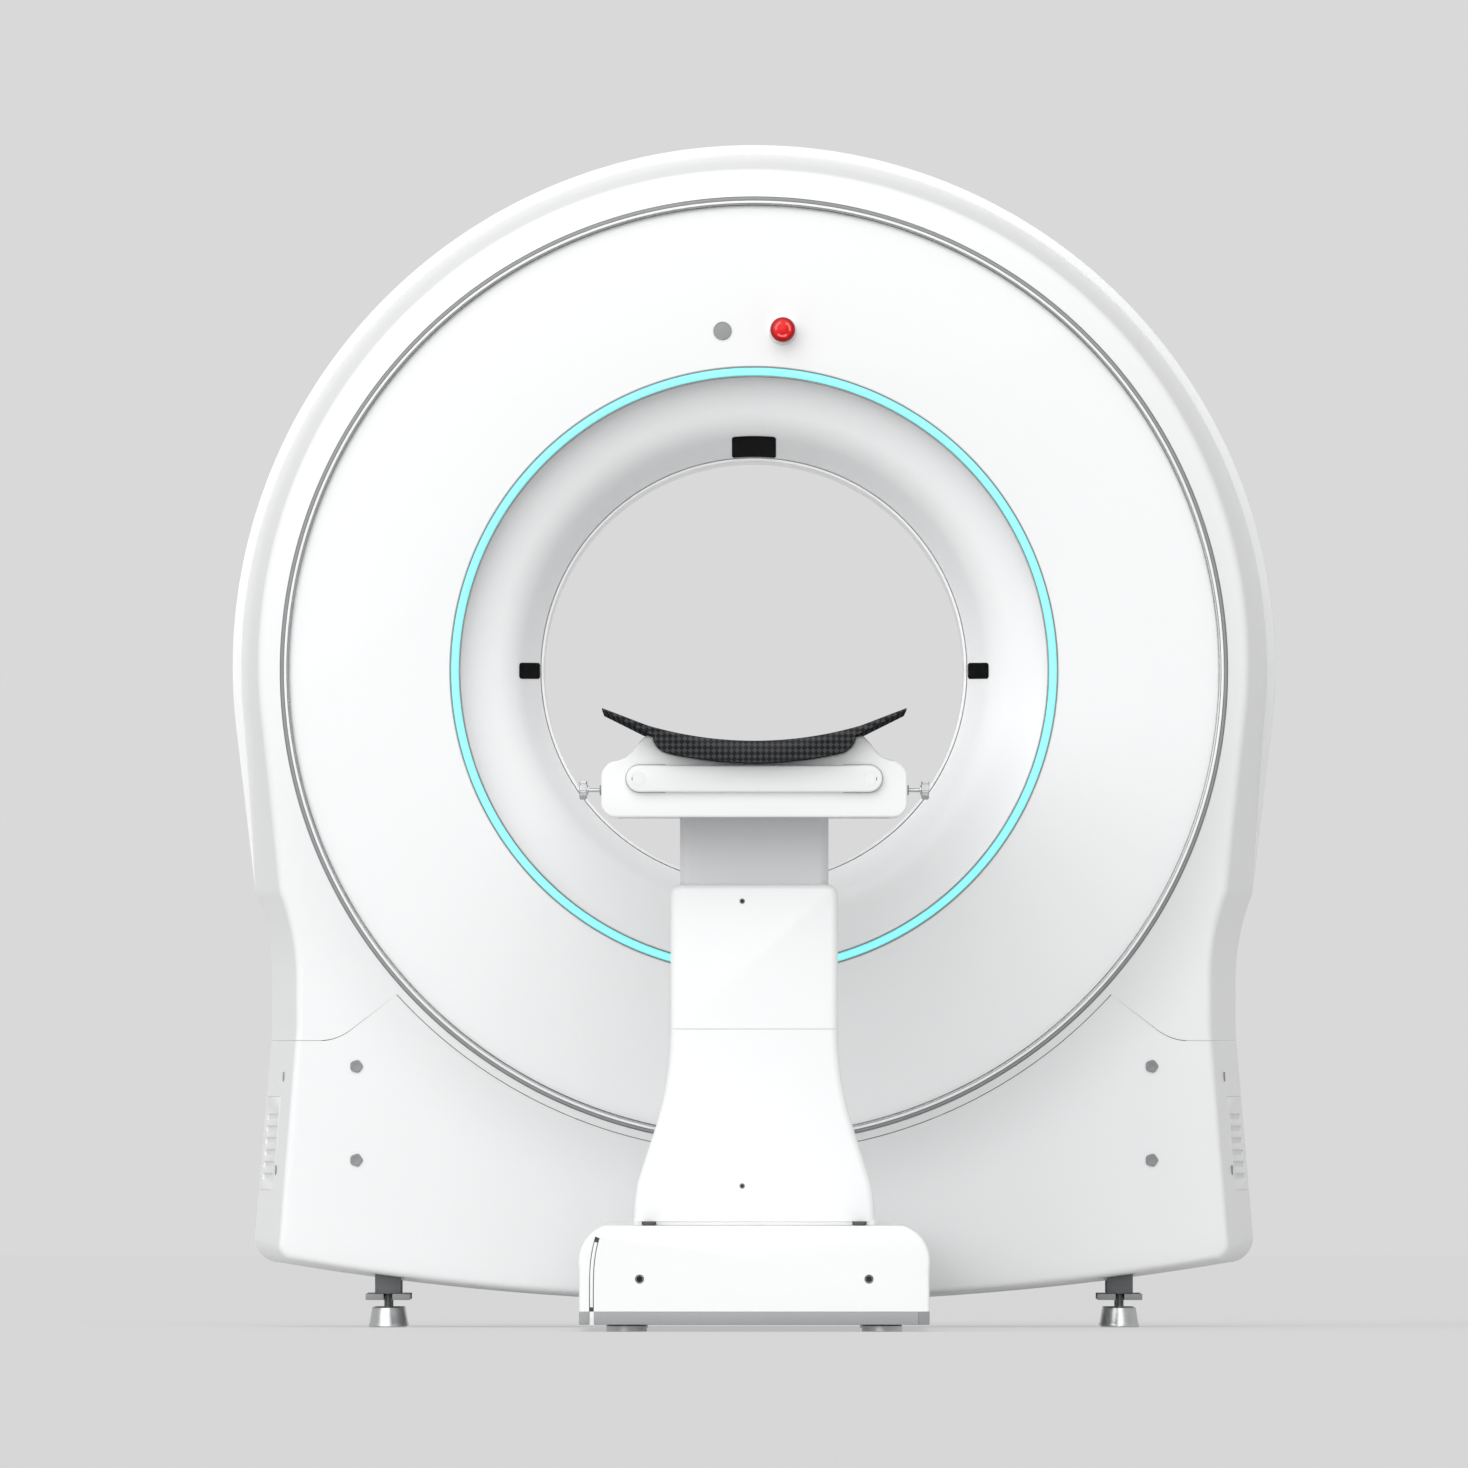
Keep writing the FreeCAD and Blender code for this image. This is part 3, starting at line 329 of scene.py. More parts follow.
def softened(name, node, width, slot, material, segments=3):
    # The node's own form with its edges rounded, on a cleaned copy of its mesh.
    mesh = nodes[node].data.copy()
    facing(mesh, 2e-6, 0.6)
    obj = placed(name, mesh)
    bevelled(obj, width, segments, 28.0)
    smooth(obj.data, 40.0)
    return settle(obj, nodes[node]["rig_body"], slot, material, [node])


def carved(obj, tool, kind="DIFFERENCE"):
    cut = obj.modifiers.new("cut", "BOOLEAN")
    cut.object = tool
    cut.operation = kind
    cut.solver = "EXACT"
    baked(obj)
    gone(tool)


def drilled(obj, *tools):
    for tool in tools:
        carved(obj, tool)
    return obj


def skin(turns, rows, ring=True, wrap=True):
    # Faces over columns of corners: ring closes each column, wrap joins the last to the first.
    faces = []
    for turn in range(turns if wrap else turns - 1):
        here, after = turn * rows, (turn + 1) % turns * rows
        for row in range(rows if ring else rows - 1):
            other = (row + 1) % rows
            faces.append((here + row, here + other, after + other, after + row))
    return faces


def capped(columns, ends):
    # Corners and faces of a turned body from its columns and the point at each end.
    count, rows = len(columns), len(columns[0])
    verts = [point for column in columns for point in column] + ends
    faces = skin(count, rows, ring=False)
    for index in range(count):
        here, after = index * rows, (index + 1) % count * rows
        faces.append((count * rows, here, after))
        faces.append((count * rows + 1, after + rows - 1, here + rows - 1))
    return verts, faces


def curve(first, corner, last, steps):
    shares = [step / steps for step in range(steps + 1)]
    return [first * (1 - t) ** 2 + corner * 2 * t * (1 - t) + last * t ** 2 for t in shares]


def rounded(points, radii, steps=5):
    # The closed outline with each corner turned into a short arc-like curve.
    made = []
    for index, corner in enumerate(points):
        corner = Vector(corner)
        before = Vector(points[index - 1]) - corner
        after = Vector(points[(index + 1) % len(points)]) - corner
        radius = radii[index] if isinstance(radii, (list, tuple)) else radii
        if radius <= 0.0:
            made.append(corner)
            continue
        first = corner + before.normalized() * min(radius, before.length * 0.49)
        last = corner + after.normalized() * min(radius, after.length * 0.49)
        made += curve(first, corner, last, steps)
    return made


def linePoints(first, last, count):
    (ax, az), (bx, bz) = first, last
    return [(ax + (bx - ax) * i / count, az + (bz - az) * i / count) for i in range(count)]


def arcPoints(first, middle, last, count):
    # Points along the arc through three points, without its last.
    (ax, az), (bx, bz), (cx, cz) = first, middle, last
    d = 2 * (ax * (bz - cz) + bx * (cz - az) + cx * (az - bz))
    sa, sb, sc = ax * ax + az * az, bx * bx + bz * bz, cx * cx + cz * cz
    ox = (sa * (bz - cz) + sb * (cz - az) + sc * (az - bz)) / d
    oz = (sa * (cx - bx) + sb * (ax - cx) + sc * (bx - ax)) / d
    radius = math.hypot(ax - ox, az - oz)
    start = math.atan2(az - oz, ax - ox)
    mid = (math.atan2(bz - oz, bx - ox) - start) % (2 * math.pi)
    end = (math.atan2(cz - oz, cx - ox) - start) % (2 * math.pi)
    if mid > end:
        end -= 2 * math.pi
    turns = [start + end * i / count for i in range(count)]
    return [(ox + radius * math.cos(turn), oz + radius * math.sin(turn)) for turn in turns]


def path(*legs):
    # Points along lines of two corners and arcs of three, each leg without its last point.
    made = []
    for *corners, count in legs:
        made += (arcPoints if len(corners) == 3 else linePoints)(*corners, count)
    return made


def mirrored(point):
    return (-point[0], point[1])


def bothSides(right, *middle):
    return right + [*middle] + [mirrored(point) for point in right[::-1]]


def spin(point):
    # A point of (radius, depth, degrees) about the bore's axis; 90 degrees is straight up.
    radius, depth, degrees = point
    turn = math.radians(degrees)
    return (radius * math.cos(turn), gantryFront + depth, boreHeight + radius * math.sin(turn))


def around(axis, radius, depth, degrees):
    base, way = axis
    side = way.orthogonal().normalized()
    turn = math.radians(degrees)
    return base + way * depth + (side * math.cos(turn) + way.cross(side) * math.sin(turn)) * radius


def piece(name, verts, faces, *look):
    return finished(solid(verts, faces), name, *look)


def lathe(name, profile, *look, steps=256):
    # A closed ring about the bore from a closed profile of (radius, depth).
    turns = [360.0 * step / steps for step in range(steps)]
    verts = [spin((radius, depth, turn)) for turn in turns for radius, depth in profile]
    return piece(name, verts, skin(steps, len(profile)), "stand", *look)


def knob(name, profile, axis, *look):
    # A solid turned body: the profile runs from the axis out and back to the axis.
    steps = 64
    turns = [360.0 * step / steps for step in range(steps)]
    inner = profile[1:-1]
    columns = [[around(axis, radius, depth, turn) for radius, depth in inner] for turn in turns]
    ends = [around(axis, 0.0, profile[end][1], 0.0) for end in (0, -1)]
    return piece(name, *capped(columns, ends), *look)


def turnedItem(profile, steps=40, lobes=0, lobe=0.0):
    # A scratch turned body on the Z axis; lobes make its rim wavy.
    columns = []
    for step in range(steps):
        turn = 2.0 * math.pi * step / steps
        wave = 1.0 - lobe * (0.5 - 0.5 * math.cos(lobes * turn))
        x, y = wave * math.cos(turn), wave * math.sin(turn)
        columns.append([(radius * x, radius * y, z) for radius, z in profile[1:-1]])
    return solid(*capped(columns, [(0.0, 0.0, profile[end][1]) for end in (0, -1)]))


def socketHead(radius, height, socket, sides=6, steps=48):
    # A screw's head along +Z with a many-sided socket; its back lies at zero.
    columns = []
    floor = height * 0.25
    sector = 2.0 * math.pi / sides
    for step in range(steps):
        turn = 2.0 * math.pi * step / steps
        flat = socket / math.cos((turn + sector / 2) % sector - sector / 2)
        outer = [(radius, 0.0), (radius, height * 0.65), (radius - height * 0.3, height)]
        rows = outer + [(flat, height), (flat, floor)]
        columns.append([(reach * math.cos(turn), reach * math.sin(turn), z) for reach, z in rows])
    return solid(*capped(columns, [(0.0, 0.0, 0.0), (0.0, 0.0, floor)]))


def socketShade(radius):
    # A flat dark disc that fills a socket: painted shade for the socket's depth.
    return [(0.0, 0.0), (radius, 0.0), (radius, 0.0002), (radius - 0.0001, 0.0003), (0.0, 0.0003)]


def prism(points, span):
    # A scratch solid along Y from a closed (x, z) outline.
    count = len(points)
    verts = [(x, y, z) for y in span for x, z in points]
    ends = [tuple(range(count)), tuple(range(2 * count - 1, count - 1, -1))]
    return solid(verts, ends + skin(2, count, wrap=False))


def block(low, high):
    (ax, ay, az), (bx, by, bz) = low, high
    return prism([(ax, az), (bx, az), (bx, bz), (ax, bz)], (ay, by))


def inward(outline, distance):
    # The closed outline drawn in by a distance, corner by corner.
    count = len(outline)
    points = [Vector(point) for point in outline]
    area = sum(points[i - 1].x * points[i].y - points[i].x * points[i - 1].y for i in range(count))
    side = 1.0 if area > 0.0 else -1.0
    made = []
    for index, here in enumerate(points):
        first = (here - points[index - 1]).normalized()
        last = (points[(index + 1) % count] - here).normalized()
        mean = Vector((-first.y - last.y, first.x + last.x))
        reach = max(0.4, 1.0 + first.dot(last))
        made.append(tuple(here + mean * (side * distance / reach)))
    return made


def distinct(outline):
    made = []
    for point in outline:
        if not made or math.dist(point, made[-1]) > 1e-5:
            made.append(point)
    if math.dist(made[0], made[-1]) < 1e-5:
        made.pop()
    return made


def slabOf(outline, span, radius, backRadius=None, steps=5):
    # A scratch slab along Y whose end edges are rounded.
    outline = distinct(outline)
    rings = []
    backRadius = radius if backRadius is None else backRadius
    for end, way, size in ((span[0], 1.0, radius), (span[1], -1.0, backRadius)):
        rows = []
        for step in range(steps + 1):
            turn = 0.5 * math.pi * step / steps
            y = end + way * size * (1.0 - math.cos(turn))
            rows.append([(x, y, z) for x, z in inward(outline, size * (1.0 - math.sin(turn)))])
        rings += rows[::int(way)]
    count = len(outline)
    verts = [point for ring in rings for point in ring]
    ends = [tuple(range(count)), tuple(range(len(verts) - 1, len(verts) - count - 1, -1))]
    return solid(verts, ends + skin(len(rings), count, wrap=False))


# Repeats, laid out by Geometry Nodes


def nodeTree(name, sockets):
    # A tree with the given inputs, and what adds a node to it with its links.
    tree = bpy.data.node_groups.new(name, "GeometryNodeTree")
    sockets = {"Geometry": "Geometry", **sockets, "Surface": "Material"}
    for label, kind in sockets.items():
        tree.interface.new_socket(label, in_out="INPUT", socket_type="NodeSocket" + kind)
    tree.interface.new_socket("Geometry", in_out="OUTPUT", socket_type="NodeSocketGeometry")

    def add(kind, **links):
        made = tree.nodes.new(kind)
        for label, source in links.items():
            tree.links.new(source, made.inputs[label.replace("_", " ")])
        return made

    return tree, tree.nodes.new("NodeGroupInput").outputs, add


def closedTree(tree, given, add, geometry):
    real = add("GeometryNodeRealizeInstances", Geometry=geometry)
    links = {"Geometry": real.outputs["Geometry"], "Material": given["Surface"]}
    last = add("GeometryNodeSetMaterial", **links)
    add("NodeGroupOutput", Geometry=last.outputs["Geometry"])
    return tree


def spreadTree():
    # The item on each point of the input, turned the same way.
    tree, given, add = nodeTree("spread", {"Item": "Object", "Turn": "Rotation"})
    item = add("GeometryNodeObjectInfo", Object=given["Item"]).outputs["Geometry"]
    links = {"Points": given["Geometry"], "Instance": item, "Rotation": given["Turn"]}
    place = add("GeometryNodeInstanceOnPoints", **links)
    return closedTree(tree, given, add, place.outputs["Instances"])


def knurlTree():
    # Ribs round a turned body that stands along +Z; the whole is then turned and put in place.
    sockets = {"Ribs": "Int", "Radius": "Float", "Rib Radius": "Float", "Length": "Float"}
    sockets.update({"Start": "Float", "Turn": "Rotation", "Place": "Vector"})
    tree, given, add = nodeTree("knurl", sockets)
    ring = add("GeometryNodeMeshCircle", Vertices=given["Ribs"], Radius=given["Radius"])
    rib = add("GeometryNodeMeshCylinder", Radius=given["Rib Radius"], Depth=given["Length"])
    rib.inputs["Vertices"].default_value = 8
    links = {"Points": ring.outputs["Mesh"], "Instance": rib.outputs["Mesh"]}
    ribs = add("GeometryNodeInstanceOnPoints", **links).outputs["Instances"]
    lift = add("ShaderNodeCombineXYZ", Z=given["Start"])
    raised = add("GeometryNodeTransform", Geometry=ribs, Translation=lift.outputs["Vector"])
    both = add("GeometryNodeJoinGeometry", Geometry=raised.outputs["Geometry"])
    tree.links.new(given["Geometry"], both.inputs["Geometry"])
    links = {"Geometry": both.outputs["Geometry"], "Rotation": given["Turn"]}
    turned = add("GeometryNodeTransform", Translation=given["Place"], **links)
    return closedTree(tree, given, add, turned.outputs["Geometry"])


def grown(name, obj, tree, values, *look):
    # Runs the tree on the object, keeps the plain mesh that it makes, and finishes the piece.
    modifier = obj.modifiers.new("nodes", "NODES")
    modifier.node_group = tree
    for item in tree.interface.items_tree:
        if item.item_type == "SOCKET" and item.in_out == "INPUT" and item.name in values:
            modifier[item.identifier] = values[item.name]
    baked(obj)
    return finished(obj, name, *look)


trees = {"spread": spreadTree(), "knurl": knurlTree()}
quarter = math.radians(90.0)
facingWays = {
    "front": (quarter, 0.0, 0.0), "back": (-quarter, 0.0, 0.0), "up": (0.0, 0.0, 0.0),
    "left": (0.0, -quarter, 0.0), "right": (0.0, quarter, 0.0),
}


def spread(name, item, places, way, *look):
    # Copies of a scratch item at the places, facing one way.
    values = {"Item": item, "Turn": facingWays[way], "Surface": paint[look[2]]}
    grown(name, solid(places, []), trees["spread"], values, *look)
    gone(item)


# Gantry covers: one smooth surface for each shell, parted along the seam

housing = {
    "crown": 0.747, "rise": 0.008, "turn": 7.0, "kink": (0.714, 0.620), "waist": (0.690, 0.496),
    "hip": 0.425, "skirt": 0.715, "low": 0.092, "corner": 0.036, "belly": 0.035, "wall": 0.006,
    "split": 0.350, "front": (0.041, 0.041, 0.0045), "back": (0.012, 0.0, 0.0), "plane": 0.036,
    "seat": 0.677, "seatDepth": 0.006, "flank": 0.113, "crease": 0.011, "rearEnd": 0.714,
    "rearRound": 0.012, "hole": 0.3043, "faceRows": 13, "span": (0.4, 1.3), "beyond": 1.5,
}
seamForm = {
    "level": 0.410, "gap": 0.001, "past": 0.011, "meet": -42.2, "knee": 0.596, "reach": 0.025,
}
holeForm = {"half": 0.0225, "z": (-0.1, 0.15), "tieHalf": 0.074, "tie": (0.566, 0.634)}
ventForm = {"x": 0.715, "reach": 0.08, "y": (0.645, 0.813), "z": (0.196, 0.330)}
footPlaces = [(side * 0.523, y) for side in (-1, 1) for y in (0.600, 1.080)]


def shellOutline(insets, grow=0.0):
    # The housing seen from the front, drawn in by the insets, from the right shoulder over the top.
    s = housing
    crownIn, sideIn, lowIn = (inset + grow for inset in insets)
    top = boreHeight + s["rise"]
    radius = s["crown"] - crownIn
    turn = math.radians(s["turn"])
    shoulder = (radius * math.cos(turn), top - radius * math.sin(turn))
    kink, waist = ((s[key][0] - sideIn, s[key][1]) for key in ("kink", "waist"))
    run = s["kink"][0] - s["waist"][0]
    drop = s["kink"][1] - s["waist"][1]
    bendRadius = (run * run + drop * drop) / (2 * run)
    half = math.asin(drop / bendRadius) / 2
    bend = (waist[0] + bendRadius * (1 - math.cos(half)), waist[1] + bendRadius * math.sin(half))
    hip = (waist[0], s["hip"])
    side = s["skirt"] - sideIn
    low = s["low"] + lowIn
    corner = s["corner"] - 0.4 * sideIn
    slack = corner * (1 - math.sqrt(0.5))
    heel, heelBend, toe = (side, low + corner), (side - slack, low + slack), (side - corner, low)
    belly = (0.0, s["belly"] + lowIn)
    down = [(shoulder, kink, 34), (kink, bend, waist, 24), (waist, hip, 14), (hip, heel, 40)]
    down.append((heel, heelBend, toe, 12))
    leftDown = [(*map(mirrored, corners), count) for *corners, count in down]
    rightUp = [(*corners[::-1], count) for *corners, count in down[::-1]]
    crown = (shoulder, (0.0, top + radius), mirrored(shoulder), 300)
    return path(crown, *leftDown, (mirrored(toe), belly, toe, 140), *rightUp)


def flankDepth(radius):
    s = housing
    t = min(max((radius - s["seat"]) / s["flank"], 0.0), 1.0)
    return s["plane"] - (s["plane"] - s["seatDepth"]) * (1.0 - t) ** 2.4


def rounding(before, corner, after, radius, steps=6):
    first, last = (corner + (end - corner).normalized() * radius for end in (before, after))
    return curve(first, corner, last, steps)


def partWay(a, b, share):
    return a[0] + (b[0] - a[0]) * share, a[1] + (b[1] - a[1]) * share


def radial(out, radius, depth):
    return Vector((out.x * radius, depth, boreHeight + out.z * radius))


def shellFrom(columns):
    # A closed skin through columns of (x, depth, z), each a closed loop.
    rings = list(zip(*columns))
    verts = [(p.x, gantryFront + p.y, p.z) for ring in rings for p in ring]
    return solid(verts, skin(len(rings), len(columns)))


def frontShell():
    s = housing
    ends = [(s[end], grow) for grow in (0.0, s["wall"]) for end in ("front", "back")]
    outlines = [shellOutline(*end) for end in ends]
    innerFront = s["plane"] + s["wall"]
    rows = s["faceRows"]
    columns = []
    for a, b, c, d in zip(*outlines):
        # Where the side wall meets the front face, found by stepping along the wall.
        share = 0.05
        for _ in range(20):
            x, z = partWay(a, b, share)
            share = flankDepth(math.hypot(x, z - boreHeight)) / s["split"]
        crease = Vector((x, share * s["split"], z))
        out = Vector((x, 0.0, z - boreHeight))
        reach = out.length
        out.normalize()
        radii = [s["seat"] + (reach - s["seat"]) * (row / rows) ** 1.3 for row in range(rows)]
        face = [radial(out, radius, flankDepth(radius)) for radius in radii]
        back = Vector((b[0], s["split"], b[1]))
        room = min(s["crease"], 0.45 * (reach - s["seat"]), 0.5 * (back - crease).length)
        face = face[:1] + [p for p in face[1:] if (p - crease).length > room * 1.15]
        while len(face) < rows:
            face.insert(1, (face[0] + face[1]) * 0.5)
        side = [crease.lerp(back, t) for t in (0.1, 0.3, 0.5, 0.7, 0.9, 0.985)]
        inX, inZ = partWay(c, d, innerFront / s["split"])
        inside = [
            Vector((d[0], s["split"], d[1])), Vector((inX, innerFront, inZ)),
            radial(out, s["seat"], innerFront),
        ]
        columns.append(face + rounding(face[-1], crease, back, room) + side + [back] + inside)
    return shellFrom(columns)


def rearShell():
    s = housing
    y0, y1, wall = s["split"], s["rearEnd"], s["wall"]
    outlines = shellOutline((0.0,) * 3), shellOutline((wall,) * 3), shellOutline(s["back"], wall)
    columns = []
    for a, b, c in zip(*outlines):
        start, end = (Vector((a[0], y, a[1])) for y in (y0, y1))
        lip = Vector((c[0], y0, c[1]))
        out = Vector((a[0], 0.0, a[1] - boreHeight))
        reach = out.length
        out.normalize()
        radii = (reach - 0.03, reach * 0.8, reach * 0.6, s["hole"] + 0.004, s["hole"])
        back = [radial(out, radius, y1) for radius in radii]
        front = rounding(lip, start, end, 0.002, 3)
        side = [start.lerp(end, t) for t in (0.25, 0.5, 0.75)]
        inside = [
            radial(out, s["hole"], y1 - wall), Vector((b[0], y1 - wall, b[1])),
            Vector((b[0], y0 + wall, b[1])), Vector((c[0], y0 + wall, c[1])), lip,
        ]
        columns.append(front + side + rounding(start, end, back[0], s["rearRound"]) + back + inside)
    return shellFrom(columns)


def seamOutline(drop):
    # Everything below the seam: level at the sides, then a slope, then round below the ring.
    s = seamForm
    height = s["level"] - drop
    radius = housing["seat"] + s["past"] + drop
    turn = math.radians(s["meet"])
    meet = (radius * math.cos(turn), boreHeight + radius * math.sin(turn))
    knee, reach = s["knee"], s["reach"]
    slope = math.atan2(meet[1] - height, knee - meet[0])
    kneeRadius = reach / math.tan(slope / 2)
    start = (knee + reach, height)
    middleX = start[0] - kneeRadius * math.sin(slope / 2)
    middle = (middleX, height + kneeRadius * (1 - math.cos(slope / 2)))
    end = (knee - reach * math.cos(slope), height + reach * math.sin(slope))
    ring = arcPoints(meet, (0.0, boreHeight - radius), mirrored(meet), 160)
    made = arcPoints(start, middle, end, 10) + [end] + ring + [mirrored(meet)]
    made += arcPoints(mirrored(end), mirrored(middle), mirrored(start), 10) + [mirrored(start)]
    far = housing["beyond"]
    return made + [(-far, height), (-far, -0.5), (far, -0.5), (far, height)]


def levelOutline(drop):
    height, far = seamForm["level"] - drop, housing["beyond"]
    return [(-far, -0.5), (far, -0.5), (far, height), (-far, height)]


def footHoles():
    # The openings in the covers' underside for the feet and the tie to the table.
    s = holeForm
    half, (low, high) = s["half"], s["z"]
    made = [block((x - half, y - half, low), (x + half, y + half, high)) for x, y in footPlaces]
    return made + [block((-s["tieHalf"], s["tie"][0], low), (s["tieHalf"], s["tie"][1], high))]


def ventHoles():
    s = ventForm
    (y0, y1), (z0, z1) = s["y"], s["z"]
    middles = (-s["x"], s["x"])
    return [block((x - s["reach"], y0, z0), (x + s["reach"], y1, z1)) for x in middles]


shells = {"front": (frontShell(), seamOutline), "rear": (rearShell(), levelOutline)}
for label, (upper, outline) in shells.items():
    lower = placed("lower", upper.data.copy())
    carved(upper, prism(outline(0.0), housing["span"]))
    carved(lower, prism(outline(seamForm["gap"]), housing["span"]), "INTERSECT")
    drilled(lower, *footHoles(), *(ventHoles() if label == "front" else []))
    for part, level in ((upper, "upper"), (lower, "lower")):
        look = ("stand", "white_cover", "cover", [label + "_" + level + "_cover"])
        finished(part, label + level.capitalize() + "Shell", *look, sharp=26.0)
softened("ventGrilles", "side_vent_grilles", 0.0008, "white_cover", "cover", 2)
print("gantry covers made")


# Rings: a closed profile of (radius, depth), the radii and steps of its corners, and the look


def band(inner, outer, front, back):
    return [(inner, front), (outer, front), (outer, back), (inner, back)]


rings = {
    "fasciaPanel": (
        [(0.6767, 0.010), (0.6632, 0.010), (0.4343, -0.008), (0.4343, 0.018), (0.6767, 0.018)],
        [0.001, 0.004, 0.0015, 0.0, 0.0], 5, "panel_white", "panel", ["front_panel"],
    ),
    "trimBead": (
        [(0.6632, 0.0098), (0.6634, 0.0046), (0.6643, 0.0036), (0.6669, 0.0031), (0.6671, 0.0098)],
        0.0006, 3, "trim_metal", "trim", ["trim_ring"],
    ),
    # A white glossy band on the metal ring's crest, lighter than the ring's metal all round: a
    # painted highlight.
    "trimCrest": (
        [(0.6673, 0.0098), (0.6674, 0.0012), (0.6711, 0.0012), (0.6712, 0.0098)],
        0.0008, 3, "trim_metal", "crest",
    ),
    "trimEdging": (
        [(0.6714, 0.0098), (0.6715, 0.0040), (0.6742, 0.0034), (0.6764, 0.0062), (0.6767, 0.0098)],
        0.0005, 3, "trim_metal", "edging",
    ),
    "lightDiffuser": (
        band(0.4216, 0.4324, -0.0086, 0.033),
        [0.002, 0.002, 0.0, 0.0], 4, "light_strip", "light", ["light_ring"],
    ),
    "lightOuterBorder": (band(0.4326, 0.4342, -0.0090, 0.033), 0.0003, 2, "light_strip", "gasket"),
    "lightInnerBorder": (
        band(0.4200, 0.4214, -0.0088, -0.0056), 0.0003, 2, "light_strip", "gasket",
    ),
    "recessWall": (band(0.4200, 0.4214, -0.0054, 0.033), 0.0003, 2, "panel_white", "inner"),
    "boreFlare": (
        [(0.4197, 0.027), (0.3443, 0.040), (0.3043, 0.098), (0.3503, 0.098), (0.3503, 0.046),
         (0.4197, 0.046)],
        [0.002, 0.026, 0.0015, 0.0, 0.0, 0.0], 14, "white_cover", "inner", ["front_flare"],
    ),
    "boreTube": (
        band(0.300, 0.304, 0.096, 0.720),
        [0.0012, 0.001, 0.001, 0.0014], 4, "panel_white", "panel", ["bore_tunnel"],
    ),
    "rearBezel": (
        [(0.3006, 0.7142), (0.3300, 0.7142), (0.3290, 0.7190), (0.3040, 0.7196), (0.3006, 0.7192)],
        0.0008, 3, "panel_white", "panel",
    ),
}
for name, (profile, radii, steps, *look) in rings.items():
    turns = 320 if look[0] == "trim_metal" else 256
    lathe(name, rounded(profile, radii, steps), *look, steps=turns)
print("rings made")


# Laser windows, laid on the flare

flareForm = rounded(*rings["boreFlare"][:3])
windowForm = {
    "places": [(90.0, 0.0315), (180.0, 0.0115), (0.0, 0.0115)],
    "radii": (0.3056, 0.3353), "lifts": (0.0008, -0.0004), "corner": 0.003,
    "rows": 18, "columns": 16,
}


def flareAt(radius):
    # The flare's depth at a radius, from its own profile.
    for a, b in zip(flareForm, flareForm[1:]):
        if b.x <= radius <= a.x:
            return a.y + (b.y - a.y) * (a.x - radius) / max(a.x - b.x, 1e-9)
    return flareForm[0].y


def windowPatch(degrees, half):
    # A thin plate on the flare, round-cornered, between two radii.
    s = windowForm
    rows, columns, corner = s["rows"], s["columns"], s["corner"]
    low, high = s["radii"]
    turn = Matrix.Rotation(math.radians(90.0 - degrees), 3, "Y")
    verts = []
    for lift in s["lifts"]:
        for row in range(rows + 1):
            t = row / rows
            radius = low + (high - low) * t
            edge = min(t, 1.0 - t) * (high - low)
            pull = corner - math.sqrt(max(corner ** 2 - max(corner - edge, 0.0) ** 2, 0.0))
            for column in range(columns + 1):
                x = (half - pull) * (2 * column / columns - 1)
                p = turn @ Vector((x, flareAt(radius) - lift, math.sqrt(radius ** 2 - x ** 2)))
                verts.append((p.x, gantryFront + p.y, boreHeight + p.z))
    wide = columns + 1
    count = (rows + 1) * wide
    faces = skin(rows + 1, wide, False, False)
    faces += [tuple(count + i for i in face[::-1]) for face in faces]
    rim = [*range(wide), *(row * wide + columns for row in range(1, rows + 1))]
    rim += [rows * wide + column for column in range(columns - 1, -1, -1)]
    rim += [row * wide for row in range(rows - 1, 0, -1)]
    faces += [(a, b, count + b, count + a) for a, b in zip(rim, rim[1:] + rim[:1])]
    return verts, faces


def joined(sets):
    verts, faces = [], []
    for someVerts, someFaces in sets:
        faces += [tuple(len(verts) + i for i in face) for face in someFaces]
        verts += someVerts
    return verts, faces


panes = joined(windowPatch(*place) for place in windowForm["places"])
piece("laserWindows", *panes, "stand", "window_black", "black", ["laser_windows"])
print("laser windows made")


# Emergency stop and status lamp on the panel: profiles of (radius, height) on an axis

stopAxis = (Vector((0.041, 0.476127, 1.423)), Vector((0.006609, -0.996917, 0.078184)))
lampAxis = (Vector((-0.045, 0.476140, 1.423)), Vector((-0.00725, -0.99691, 0.07818)))
arrowForm = {
    "level": 0.02815, "band": (0.0086, 0.0114), "head": (0.0077, 0.0123), "tip": 0.0101,
    "bend": 62.0, "end": 88.0, "steps": 12,
}
controls = {
    "stopCollar": (
        [(0.0, 0.0), (0.020, 0.0), (0.020, 0.0052), (0.0194, 0.0068), (0.0178, 0.008),
         (0.0085, 0.008), (0.0, 0.008)],
        stopAxis, "stand", "panel_white", "panel", ["emergency_stop_collar"],
    ),
    # The head's rounded side is a darker red than the ring and button on top: painted shade.
    "stopHead": (
        [(0.0, 0.0133), (0.0112, 0.0133), (0.0150, 0.0142), (0.0174, 0.0166), (0.0180, 0.0196),
         (0.0176, 0.0228), (0.0162, 0.0252), (0.0146, 0.0262), (0.0136, 0.0266), (0.0, 0.0266)],
        stopAxis, "stop_cap", "stop_red", "redRim", ["emergency_stop_head"],
    ),
    "stopRing": (
        [(0.0, 0.0262), (0.0134, 0.0262), (0.0130, 0.0276), (0.0122, 0.0280), (0.0, 0.0280)],
        stopAxis, "stop_cap", "stop_red", "red",
    ),
    "stopButton": (
        [(0.0, 0.0276), (0.0072, 0.0276), (0.0070, 0.0288), (0.0060, 0.0292), (0.0, 0.0293)],
        stopAxis, "stop_cap", "stop_red", "red",
    ),
    "statusLamp": (
        [(0.0, 0.0), (0.0130, 0.0), (0.0130, 0.0018), (0.0124, 0.0024), (0.0112, 0.0024),
         (0.0108, 0.0021), (0.0, 0.0029)],
        lampAxis, "stand", "lamp_grey", "lamp", ["status_lamp"],
    ),
}


